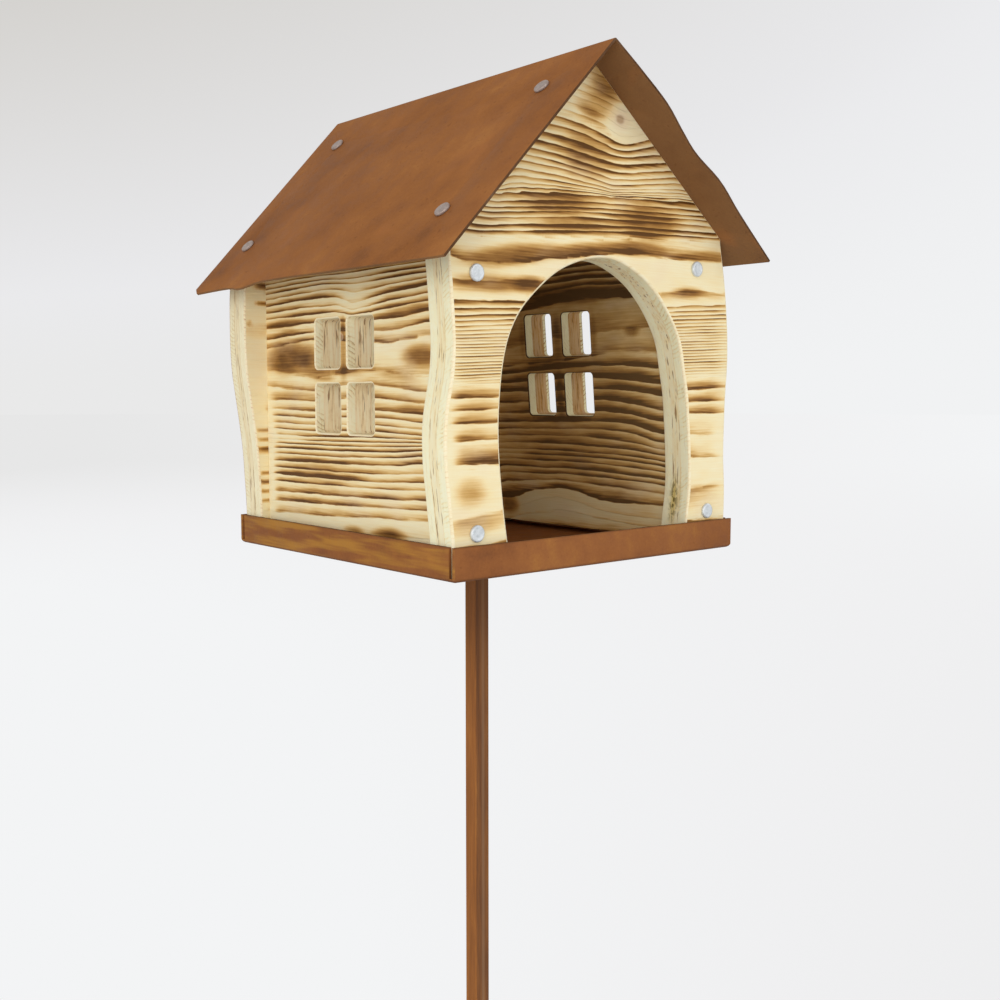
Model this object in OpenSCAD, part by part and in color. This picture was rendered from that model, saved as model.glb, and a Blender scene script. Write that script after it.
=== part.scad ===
// Bird feeder: a small crooked wooden house in a folded steel tray, under a folded steel roof, on a steel post.
// Millimetres. +Z is up and the doorway faces -Y. The origin is the middle of the post's foot, at ground level.

/* [Post] */
// Side of the square steel bar
post_side = 10; // [8:1:16]
// Rounding of the bar's long edges
post_round = 1; // [0.5:0.25:2]
// Height of the post above the ground
post_h = 1000; // [600:10:1500]
// Side of the square plate welded on top of the post
plate_side = 60; // [40:5:90]
// Thickness of that plate
plate_t = 3; // [2:0.5:5]
// Leg of the weld bead under the plate
weld_leg = 3; // [2:0.5:4]

/* [Tray] */
// Outside width of the tray, left to right
tray_w = 200; // [180:5:260]
// Outside depth of the tray, front to back
tray_d = 200; // [180:5:260]
// Height of the upturned flaps, from the tray's underside
flap_h = 16.5; // [10:0.5:30]
// Thickness of the tray's sheet
tray_t = 1.5; // [1:0.25:2.5]
// Outside radius of the folds along the tray's bottom
fold_r = 2.5; // [2:0.5:5]
// Width of the open slot between the end of a side flap and the flap in front of it or behind it
slot_w = 2.5; // [1:0.5:4]
// Height of a slot's bottom above the tray's underside
slot_z = 2; // [2:0.5:5]
// How far the tray's middle stands to the right of the post
tray_shift = 4; // [0:1:10]

/* [Boards and walls] */
// Thickness of the three-ply boards
board_t = 18; // [15:1:24]
// Gap between a board's face and the flap in front of it
board_gap = 1.6; // [0.4:0.1:4]
// Distance from the inside of the left flap to the outside face of the left wall
left_wall_inset = 5.25; // [2:0.25:12]
// Distance from the inside of the right flap to the foot of the right wall's outside face
right_wall_inset = 6.25; // [2:0.25:12]
// Drip gap between the side walls and the tray's floor
wall_lift = 3; // [1:0.5:6]
// Gap between the top of a side wall and the roof
wall_top_gap = 0.5; // [0.2:0.1:2]
// How far the left wall leans to the left, in degrees
left_lean = 0; // [-5:0.5:5]
// How far the right wall leans to the left, in degrees
right_lean = 5; // [0:0.5:8]

/* [Windows] */
// Width of a window pane, along the wall
pane_w = 24; // [18:0.5:30]
// Height of a window pane
pane_h = 26; // [18:0.5:32]
// Height of the bars between the left window's upper and lower panes
left_crossbar = 8; // [5:0.5:12]
// Height of the bars between the right window's upper and lower panes
right_crossbar = 10; // [5:0.5:12]
// Width of the left window's upright bars
left_upright = 6.5; // [5:0.5:12]
// Width of the right window's upright bars
right_upright = 9; // [5:0.5:12]
// Rounding of a pane's corners
pane_r = 2.5; // [2:0.5:8]
// Middle of the left window, behind the tray's middle
left_window_y = 0; // [-15:0.5:15]
// Height of the left window's middle above the tray's underside
left_window_z = 96; // [80:1:115]
// Middle of the right window, behind the tray's middle
right_window_y = 6; // [-15:0.5:15]
// Height of the right window's middle above the tray's underside
right_window_z = 106; // [80:1:115]

/* [Doorway] */
// Middle of the arch, to the right of the tray's middle
arch_x = -1.5; // [-10:0.5:10]
// Distance from the tray's side to the arch's side where it is widest
jamb_w = 31.5; // [28:0.5:45]
// Height of the arch's top above the tray's underside
arch_top = 154.5; // [120:0.5:156]

/* [Roof] */
// Thickness of the roof's sheet
roof_t = 1.25; // [1:0.25:2.5]
// Place of the ridge, to the right of the tray's middle
ridge_x = -15; // [-25:1:25]
// Height of the ridge's inner fold above the tray's underside
ridge_z = 253.5; // [230:0.5:300]
// Pitch of the left slope, in degrees
left_pitch = 46.5; // [40:0.5:52]
// Pitch of the right slope, in degrees
right_pitch = 38; // [34:0.5:46]
// How far the left eave reaches past the tray's left side
left_reach = 18; // [12:1:40]
// How far the right eave reaches past the tray's right side
right_reach = 6.75; // [4:0.25:40]
// Overhang of the roof in front of the front board
front_overhang = 20.5; // [10:0.5:40]
// Overhang of the ridge behind the rear board
rear_overhang = 25; // [14:0.5:40]
// How much less the eaves overhang at the back than the ridge does
rear_skew = 9.5; // [0:0.5:13]

/* [Screws] */
// Diameter of a screw's round head
head_d = 8.2; // [7:0.1:12]
// Thickness of the head
head_t = 1.6; // [1:0.1:3]
// Rounding of the head's rim
head_round = 0.7; // [0.3:0.1:0.9]
// Diameter of a screw's shank
shank_d = 3.5; // [2.5:0.25:4.5]
// Clearance round the shank in its hole
shank_clear = 0.1; // [0.05:0.05:0.3]
// Length under the head of a screw that holds a wall
wall_screw_l = 45; // [30:1:60]
// Length under the head of a roof screw
roof_screw_l = 22; // [15:1:30]
// Length under the head of a floor screw
floor_screw_l = 26; // [18:1:30]
// Distance of the upper roof screws from the ridge
roof_screw_upper = 28; // [20:1:40]
// Distance of the lower roof screws from the eave
roof_screw_lower = 33; // [29:1:50]
// How far the rear roof screws stand behind the middle of the rear board
rear_screw_back = 4; // [0:0.5:5]
// Distance of the floor screws from the tray's side
floor_screw_inset = 25; // [23:1:27]
// How far the floor screws stand further in than the middle of their board
floor_screw_back = 3.5; // [0:0.5:4]
// Gap between a flap's top and the heads of the lower wall screws
low_screw_gap = 1.2; // [0.5:0.1:4]
// How far the left wall's upper screws are below the top of the wall
left_screw_drop = 38.5; // [15:0.5:60]
// How far the right wall's upper screws are below the top of the wall
right_screw_drop = 23; // [15:0.5:60]

/* [Hidden] */
$fn = 48;
eps = 0.01;

// Heights are measured from the tray's underside, which stands this high above the ground.
tray_z = post_h + plate_t;

// The boards' freehand sides: [height, how far the side stands out past the inside of the flap].
front_left_side = [
    [0, -1], [18, -0.2], [38, 1.9], [53, 3.6], [69, 4.1], [81, 2.7], [96, -0.3], [111, -1.4], [126, -0.3],
    [141, 0.8], [176, 4]
];
front_right_side = [
    [0, -1.2], [19, -0.7], [38, -0.7], [51, -1.7], [71, -1.5], [89, -0.6], [105, 0.5], [121, 0], [132, -1],
    [141, -2.2], [153, -4.2], [176, -9]
];
rear_left_side = [
    [0, -0.5], [17, -0.2], [26, 0], [41, 0.8], [53, 1.5], [61, 2.3], [76, 4.3], [87, 5.8], [99, 7.5], [116, 8.2],
    [131, 8.2], [141, 8], [176, 6.2]
];
rear_right_side = [
    [0, -1.5], [26, -0.7], [60, -2], [106, 0], [132, -1.4], [153, -4.2], [176, -8.6]
];

// The arch's freehand outline at its usual size, up its left side and down its right side:
// [distance from the arch's middle, height above the tray's underside].
arch_line = [
    [-60, -1], [-63.5, 20], [-67, 45], [-68.5, 66], [-67.5, 87.5], [-65, 104], [-60.5, 117], [-51, 130],
    [-34.5, 143.5], [-18.5, 151], [-1.5, 154.5], [14, 153], [33, 144.5], [48, 131], [58, 116], [62.5, 99],
    [66, 81], [68.5, 51], [68.5, 34], [66.5, 18.5], [64, -1]
];
arch_line_half = max([for (p = arch_line) p[0]]);
arch_line_top = max([for (p = arch_line) p[1]]);

// The roof's freehand edges: [share of the edge's length, how far the edge stands out].
straight = [[0, 0], [1, 0]];
front_wave = [[0, 0], [0.13, 2.2], [0.27, 3.6], [0.38, 1.6], [0.48, 0.4], [0.61, 3.4], [0.76, 1.7], [1, 0.4]];
rear_wave = [
    [0, 0], [0.17, 3.3], [0.24, 3.1], [0.38, 1], [0.52, 2.2], [0.65, 1.9], [0.75, 0.3], [0.87, 1.4], [1, -1.5]
];
eave_wave = [[0, 0.2], [0.35, 0], [0.68, 0.3], [0.76, 4.2], [0.82, 2.4], [1, 4]];

inside_w = tray_w / 2 - tray_t;
front_face = -tray_d / 2 + tray_t + board_gap;
rear_face = -front_face;
board_mid = rear_face - board_t / 2;
wall_len = 2 * (rear_face - board_t);
floor_z = tray_t;
wall_z = floor_z + wall_lift;
roof_front = front_face - front_overhang;
roof_rear = rear_face + rear_overhang;
arch_half = tray_w / 2 - jamb_w;
left_slope = (tray_w / 2 + ridge_x + left_reach) / cos(left_pitch);
right_slope = (tray_w / 2 - ridge_x + right_reach) / cos(right_pitch);
floor_screw_x = tray_w / 2 - floor_screw_inset;
floor_screw_y = board_mid - floor_screw_back;
hole_r = shank_d / 2 + shank_clear;
fold_reach = 2 * roof_t;

RUST = [0.50, 0.29, 0.16];
DARK_RUST = [0.42, 0.26, 0.16];
WOOD = [0.93, 0.83, 0.62];
ZINC = [0.80, 0.80, 0.80];

// A smooth curve through points [place, value], as its value at a place. It goes on level past the last point.
function smooth(points, place) = smooth_at(points, min(place, points[len(points) - 1][0]));
function smooth_at(points, t, i = 0) =
    i >= len(points) - 2 || t <= points[i + 1][0]
        ? let (
            u = (t - points[i][0]) / (points[i + 1][0] - points[i][0]),
            before = points[max(i - 1, 0)],
            after = points[min(i + 2, len(points) - 1)],
            span = points[i + 1][0] - points[i][0],
            m0 = (points[i + 1][1] - before[1]) / (points[i + 1][0] - before[0]) * span,
            m1 = (after[1] - points[i][1]) / (after[0] - points[i][0]) * span
        )
        (2 * u ^ 3 - 3 * u ^ 2 + 1) * points[i][1] + (u ^ 3 - 2 * u ^ 2 + u) * m0
            + (3 * u ^ 2 - 2 * u ^ 3) * points[i + 1][1] + (u ^ 3 - u ^ 2) * m1
        : smooth_at(points, t, i + 1);

// Height of the boards' tops above the place x, a hair under the roof.
function under_roof(x) = ridge_z - eps - abs(x - ridge_x) * tan(x < ridge_x ? left_pitch : right_pitch);

// A point of a smooth curve through flat points, on the run from point i to the next, at the share u of that run.
function curve_at(points, i, u) =
    let (
        a = points[max(i - 1, 0)],
        b = points[i],
        c = points[i + 1],
        d = points[min(i + 2, len(points) - 1)]
    )
    b + (c - a) / 2 * u + (2 * a - 5 * b + 4 * c - d) / 2 * u ^ 2 + (3 * b - a - 3 * c + d) / 2 * u ^ 3;

// Distance of a board's freehand side from the tray's middle at a height.
function side_x(side, dir, z) = dir * (inside_w + smooth(side, z));

// Height where a freehand side meets the roof's underside.
function shoulder(side, dir, z = 0) = z >= under_roof(side_x(side, dir, z)) ? z : shoulder(side, dir, z + 0.25);

// Distance of the foot of a wall's outside face from the tray's middle.
function wall_out(dir) = inside_w - (dir < 0 ? left_wall_inset : right_wall_inset);

// Distance of a wall's mid line from the tray's middle at a height, by its lean.
function wall_mid_x(dir, z) =
    dir * (wall_out(dir) - board_t / 2) - (z - wall_z) * tan(dir < 0 ? left_lean : right_lean);

// Height of a wall's screws: the lower ones stand just above the flaps, the upper ones hang below the roof.
function wall_screw_z(dir, upper) =
    !upper ? flap_h + low_screw_gap + head_d / 2
        : under_roof(wall_mid_x(dir, wall_z)) - (dir < 0 ? left_screw_drop : right_screw_drop);

function slope_pitch(dir) = dir < 0 ? left_pitch : right_pitch;
function slope_length(dir) = dir < 0 ? left_slope : right_slope;

// ---------- post ----------

module square_bar(side, r, h) {
    for (x = [r, side - r]) for (y = [r, side - r])
        translate([x - side / 2, y - side / 2, 0]) cylinder(r = r, h = h);
    translate([-side / 2, r - side / 2, 0]) cube([side, side - 2 * r, h]);
    translate([r - side / 2, -side / 2, 0]) cube([side - 2 * r, side, h]);
}

module post() {
    color(DARK_RUST) square_bar(post_side, post_round, post_h);
}

module post_plate() {
    color(DARK_RUST) translate([0, 0, post_h]) square_bar(plate_side, 2 * post_round, plate_t);
}

// One straight run of the weld bead, along one face of the post and mitred at its ends.
module weld_run() {
    inner = post_side / 2;
    outer = inner + weld_leg;
    intersection() {
        rotate([90, 0, 90]) translate([0, 0, -outer])
            linear_extrude(2 * outer) polygon([[inner, 0], [outer, 0], [inner, -weld_leg]]);
        translate([0, 0, -weld_leg]) linear_extrude(weld_leg) polygon([[0, 0], [outer, outer], [-outer, outer]]);
    }
}

module post_weld() {
    color(DARK_RUST) translate([0, 0, post_h]) for (turn = [0:90:270]) rotate([0, 0, turn]) weld_run();
}

// ---------- tray ----------

// A bar of width w and height h along Y, with its two bottom edges rounded.
module rounded_bar(w, l, h, r) {
    for (x = [-1, 1]) translate([x * (w / 2 - r), l / 2, r]) rotate([90, 0, 0]) cylinder(r = r, h = l);
    translate([-w / 2, -l / 2, r]) cube([w, l, h - r]);
    translate([r - w / 2, -l / 2, 0]) cube([w - 2 * r, l, h - r]);
}

module rounded_pan(w, d, h, r) {
    intersection() {
        rounded_bar(w, d, h, r);
        rotate([0, 0, 90]) rounded_bar(d, w, h, r);
    }
}

module tray_slots() {
    wide = fold_r + eps;
    for (x = [-1, 1]) for (y = [-1, 1])
        translate([x * (tray_w / 2 - fold_r + wide / 2), y * (tray_d / 2 - tray_t - slot_w / 2), slot_z + flap_h / 2])
            cube([wide, slot_w, flap_h], center = true);
}

module tray() {
    color(RUST) translate([tray_shift, 0, tray_z]) difference() {
        rounded_pan(tray_w, tray_d, flap_h, fold_r);
        translate([0, 0, tray_t])
            rounded_pan(tray_w - 2 * tray_t, tray_d - 2 * tray_t, flap_h, fold_r - tray_t);
        tray_slots();
        for (x = [-1, 1]) for (y = [-1, 1]) translate([x * floor_screw_x, y * floor_screw_y, -eps])
            cylinder(r = hole_r, h = tray_t + 2 * eps);
    }
}

// ---------- boards and walls ----------

// A solid standing up from a flat outline given as [x, z], from the place y on, t deep.
module standing(y, t, outline) {
    translate([0, y + t, 0]) rotate([90, 0, 0]) linear_extrude(t) polygon(outline);
}

function side_points(side, dir, top) = [
    for (k = [0:28])
        let (z = floor_z + (top - floor_z) * k / 28, x = side_x(side, dir, z)) [x, min(z, under_roof(x))]
];

function reversed(points) = [for (k = [len(points) - 1:-1:0]) points[k]];

function house_outline(left, right) = concat(
    side_points(right, 1, shoulder(right, 1)),
    [[ridge_x, under_roof(ridge_x)]],
    reversed(side_points(left, -1, shoulder(left, -1)))
);

function arch_outline() =
    let (
        runs = len(arch_line) - 1,
        line = [for (i = [0:runs - 1]) for (k = [0:4]) curve_at(arch_line, i, k / 5)]
    )
    [for (p = concat(line, [arch_line[runs]]))
        [arch_x + arch_half * p[0] / arch_line_half, arch_top * p[1] / arch_line_top]];

module wall_screw_place(side, dir, upper) {
    z = wall_screw_z(dir, upper);
    translate([wall_mid_x(dir, z), side * rear_face, z]) rotate([-side * 90, 0, 0]) children();
}

module wall_screw_holes(side) {
    for (dir = [-1, 1]) for (upper = [false, true])
        wall_screw_place(side, dir, upper) translate([0, 0, -wall_screw_l - 1])
            cylinder(r = hole_r, h = wall_screw_l + 2);
}

module roof_screw_place(side, dir, upper) {
    along = upper ? roof_screw_upper : slope_length(dir) - roof_screw_lower;
    y = side * board_mid + (side > 0 ? rear_screw_back : 0);
    translate([ridge_x, y, ridge_z]) rotate([0, dir * slope_pitch(dir), 0])
        translate([dir * along, 0, roof_t]) children();
}

module roof_screw_holes(side) {
    for (dir = [-1, 1]) for (upper = [false, true])
        roof_screw_place(side, dir, upper) translate([0, 0, -roof_screw_l - 1])
            cylinder(r = hole_r, h = roof_screw_l + 2);
}

module floor_screw_holes(side) {
    for (x = [-1, 1]) translate([x * floor_screw_x, side * floor_screw_y, 0])
        cylinder(r = hole_r, h = floor_screw_l);
}

module front_board() {
    color(WOOD) translate([tray_shift, 0, tray_z]) difference() {
        standing(front_face, board_t, house_outline(front_left_side, front_right_side));
        standing(front_face - 1, board_t + 2, arch_outline());
        wall_screw_holes(-1);
        roof_screw_holes(-1);
        floor_screw_holes(-1);
    }
}

module rear_board() {
    color(WOOD) translate([tray_shift, 0, tray_z]) difference() {
        standing(rear_face - board_t, board_t, house_outline(rear_left_side, rear_right_side));
        wall_screw_holes(1);
        roof_screw_holes(1);
        floor_screw_holes(1);
    }
}

// One pane's hole: a bar along X with rounded long edges.
module pane() {
    hole_l = 3 * board_t;
    for (y = [-1, 1]) for (z = [-1, 1])
        translate([-hole_l / 2, y * (pane_w / 2 - pane_r), z * (pane_h / 2 - pane_r)])
            rotate([0, 90, 0]) cylinder(r = pane_r, h = hole_l);
    cube([hole_l, pane_w - 2 * pane_r, pane_h], center = true);
    cube([hole_l, pane_w, pane_h - 2 * pane_r], center = true);
}

module window(y, z, upright, crossbar) {
    for (dy = [-1, 1]) for (dz = [-1, 1])
        translate([0, y + dy * (pane_w + upright) / 2, z + dz * (pane_h + crossbar) / 2]) pane();
}

// Everything above a slope's underside, less the gap.
module above_slope(dir) {
    size = 2 * (left_slope + right_slope);
    translate([ridge_x, 0, ridge_z]) rotate([0, dir * slope_pitch(dir), 0])
        translate([-size / 2, -size / 2, -wall_top_gap]) cube(size);
}

module side_wall(dir, lean, window_y, window_z, upright, crossbar) {
    color(WOOD) translate([tray_shift, 0, tray_z]) difference() {
        translate([dir * wall_out(dir), 0, wall_z]) rotate([0, -lean, 0]) difference() {
            translate([dir < 0 ? 0 : -board_t, -wall_len / 2, -board_t]) cube([board_t, wall_len, ridge_z]);
            translate([-dir * board_t / 2, 0, 0]) window(window_y, window_z - wall_z, upright, crossbar);
        }
        above_slope(dir);
        translate([-tray_w, -wall_len, wall_z - tray_w]) cube([2 * tray_w, 2 * wall_len, tray_w]);
        wall_screw_holes(-1);
        wall_screw_holes(1);
    }
}

module left_wall() {
    side_wall(-1, left_lean, left_window_y, left_window_z, left_upright, left_crossbar);
}

module right_wall() {
    side_wall(1, right_lean, right_window_y, right_window_z, right_upright, right_crossbar);
}

// ---------- roof ----------

// Flat outline of one slope, as [distance from the ridge, y], with its freehand edges.
function slope_outline(length, front, rear, eave) =
    let (
        down = [for (k = [0:30]) length * k / 30],
        front_edge = [for (v = down) [v, roof_front - smooth(front, v / length)]],
        rear_edge = [for (v = down) [v, roof_rear - rear_skew * v / length + smooth(rear, v / length)]],
        eave_front = front_edge[30][1],
        eave_rear = rear_edge[30][1],
        eave_edge = [for (k = [1:39]) let (y = eave_front + (eave_rear - eave_front) * k / 40)
            [length + smooth(eave, k / 40), y]]
    )
    concat([[-fold_reach, roof_front]], front_edge, eave_edge, reversed(rear_edge), [[-fold_reach, roof_rear]]);

// A prism square to one slope, with that slope's outline.
module slope_prism(dir, outline) {
    rotate([0, dir * slope_pitch(dir), 0]) translate([0, 0, -fold_reach])
        linear_extrude(3 * fold_reach) polygon([for (p = outline) [dir * p[0], p[1]]]);
}

// The folded sheet seen from the front, [x, z] from the inner fold, with slopes of the length l.
function fold_outline(l) =
    let (
        left = [-cos(left_pitch), -sin(left_pitch)],
        right = [cos(right_pitch), -sin(right_pitch)],
        fold = [for (k = [0:8]) let (a = -left_pitch + (left_pitch + right_pitch) * k / 8) roof_t * [sin(a), cos(a)]]
    )
    concat([[0, 0], l * left, l * left + fold[0]], fold, [l * right + fold[8], l * right]);

module roof() {
    color(RUST) translate([tray_shift, 0, tray_z]) difference() {
        translate([ridge_x, 0, ridge_z]) intersection() {
            standing(roof_front - 20, roof_rear - roof_front + 40, fold_outline(left_slope + right_slope));
            union() {
                slope_prism(-1, slope_outline(left_slope, straight, straight, eave_wave));
                slope_prism(1, slope_outline(right_slope, front_wave, rear_wave, straight));
            }
        }
        roof_screw_holes(-1);
        roof_screw_holes(1);
    }
}

// ---------- screws ----------

// A screw with its head's underside at the origin, pointing down.
module screw(length) {
    color(ZINC) {
        cylinder(d = head_d - 2 * head_round, h = head_t);
        cylinder(d = head_d, h = head_t - head_round);
        translate([0, 0, head_t - head_round]) rotate_extrude()
            translate([head_d / 2 - head_round, 0]) intersection() {
                circle(r = head_round);
                square(head_round);
            }
        translate([0, 0, -length]) cylinder(d = shank_d, h = length + eps);
    }
}

module wall_screw(side, dir, upper) {
    translate([tray_shift, 0, tray_z]) wall_screw_place(side, dir, upper) screw(wall_screw_l);
}

module roof_screw(side, dir, upper) {
    translate([tray_shift, 0, tray_z]) roof_screw_place(side, dir, upper) screw(roof_screw_l);
}

module floor_screw(side, dir) {
    translate([tray_shift + dir * floor_screw_x, side * floor_screw_y, tray_z])
        rotate([180, 0, 0]) screw(floor_screw_l);
}

post();
post_plate();
post_weld();
tray();
front_board();
rear_board();
left_wall();
right_wall();
roof();
for (side = ["front", "rear"]) for (slope = ["left", "right"]) {
    end = side == "front" ? -1 : 1;
    dir = slope == "left" ? -1 : 1;
    for (row = ["upper", "lower"]) {
        upper = row == "upper";
        wall_screw(end, dir, upper);
        roof_screw(end, dir, upper);
    }
    floor_screw(end, dir);
}
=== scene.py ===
"""Looks of a crooked wooden bird feeder on a steel post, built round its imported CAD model.

Lengths inside the classes are millimetres. Board places are [along, height]: along is measured from the
tray's middle and height from a level 1 mm above the tray's underside.
"""

from __future__ import annotations

import logging
import math
from abc import ABC, abstractmethod
from dataclasses import dataclass, field, replace
from enum import Enum
from typing import Callable, Iterable, Sequence

import bmesh
import bpy
import numpy as np
from mathutils import Euler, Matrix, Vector, noise
from mathutils.geometry import delaunay_2d_cdt


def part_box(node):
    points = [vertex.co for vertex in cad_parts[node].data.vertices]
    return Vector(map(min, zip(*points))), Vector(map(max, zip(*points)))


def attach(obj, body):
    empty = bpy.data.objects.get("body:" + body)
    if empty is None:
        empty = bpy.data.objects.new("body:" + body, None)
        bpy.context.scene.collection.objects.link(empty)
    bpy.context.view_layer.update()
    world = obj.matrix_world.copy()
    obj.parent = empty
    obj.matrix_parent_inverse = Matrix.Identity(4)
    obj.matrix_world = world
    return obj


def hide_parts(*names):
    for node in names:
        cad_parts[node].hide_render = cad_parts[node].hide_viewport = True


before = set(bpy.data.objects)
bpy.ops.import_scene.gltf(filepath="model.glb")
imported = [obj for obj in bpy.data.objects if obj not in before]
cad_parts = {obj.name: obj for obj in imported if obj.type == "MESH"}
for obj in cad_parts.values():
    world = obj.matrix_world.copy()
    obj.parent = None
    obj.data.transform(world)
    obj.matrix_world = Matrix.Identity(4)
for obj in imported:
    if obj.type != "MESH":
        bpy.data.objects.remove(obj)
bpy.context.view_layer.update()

LOG = logging.getLogger("bird_feeder")
# A millimetre in metres.
MM = 0.001
# The specular level of bare wood and of rust.
DULL = 0.12
Point = tuple[float, float]
Line = tuple[Point, ...]
Tone = tuple[float, float, float]
Corner = tuple[int, ...]
Scale = tuple[tuple[float, Tone], ...]


class Slot(Enum):
    """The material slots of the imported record."""

    POST = "post_steel"
    TRAY = "tray_steel"
    WOOD = "board_wood"
    ROOF = "roof_steel"
    SCREW = "screw_steel"


class Skin(Enum):
    """Which finish a face of a board takes, as its material's place on the piece."""

    FACE = 0
    RIM = 1
    EDGE = 2
    BACK = 3


def linear(tone: Tone) -> tuple[float, float, float, float]:
    """Turns a display colour into the linear colour that a shader takes.

    Args:
        tone: Red, green and blue from 0 to 255.

    Returns:
        Linear red, green, blue and an alpha of 1.
    """
    parts = [c / 255 for c in tone]
    return tuple(c / 12.92 if c < 0.04045 else ((c + 0.055) / 1.055) ** 2.4 for c in parts) + (1.0,)


def show(name: str, mesh: bpy.types.Mesh, node: str) -> None:
    """Adds a piece that rides on the feeder in place of a CAD node.

    Args:
        name: The piece's name.
        mesh: Its mesh, in the row frame.
        node: The CAD node that it stands for.
    """
    piece = bpy.data.objects.new(name, mesh)
    bpy.context.scene.collection.objects.link(piece)
    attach(piece, "root")
    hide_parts(node)
    LOG.info("%s: %d faces for %s", name, len(mesh.polygons), node)


def fade(value: np.ndarray, zero: float, one: float) -> np.ndarray:
    """Smoothly goes from 0 where a value is at zero to 1 where it is at one."""
    t = np.clip((value - zero) / (one - zero), 0, 1)
    return t * t * (3 - 2 * t)


# ---------- node trees written as formulas ----------


@dataclass(frozen=True)
class Field:
    """One value in a node tree. Arithmetic on it adds the nodes that work it out."""

    graph: Graph
    socket: bpy.types.NodeSocket

    def __add__(self, other: Term) -> Field:
        """The sum."""
        return self.graph.math("ADD", self, other)

    def __sub__(self, other: Term) -> Field:
        """The difference."""
        return self.graph.math("SUBTRACT", self, other)

    def __rsub__(self, other: Term) -> Field:
        """The difference from a number."""
        return self.graph.math("SUBTRACT", other, self)

    def __mul__(self, other: Term) -> Field:
        """The product."""
        return self.graph.math("MULTIPLY", self, other)

    def __pow__(self, power: float) -> Field:
        """The value raised to a power."""
        return self.graph.math("POWER", self, power)

    __radd__ = __add__
    __rmul__ = __mul__

    def fract(self) -> Field:
        """The part after the point."""
        return self.graph.math("FRACT", self)

    def floor(self) -> Field:
        """The whole part."""
        return self.graph.math("FLOOR", self)

    def size(self) -> Field:
        """The value without its sign."""
        return self.graph.math("ABSOLUTE", self)

    def smooth(self, low: float, high: float) -> Field:
        """Rises from 0 where the value is low to 1 where it is high."""
        return self.graph.smooth(self, low, high)

    def split(self) -> tuple[Field, Field, Field]:
        """The three parts of a vector."""
        node = self.graph.node("ShaderNodeSeparateXYZ", Vector=self)
        return tuple(Field(self.graph, out) for out in node.outputs)


Term = Field | float | Sequence[float]


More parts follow.
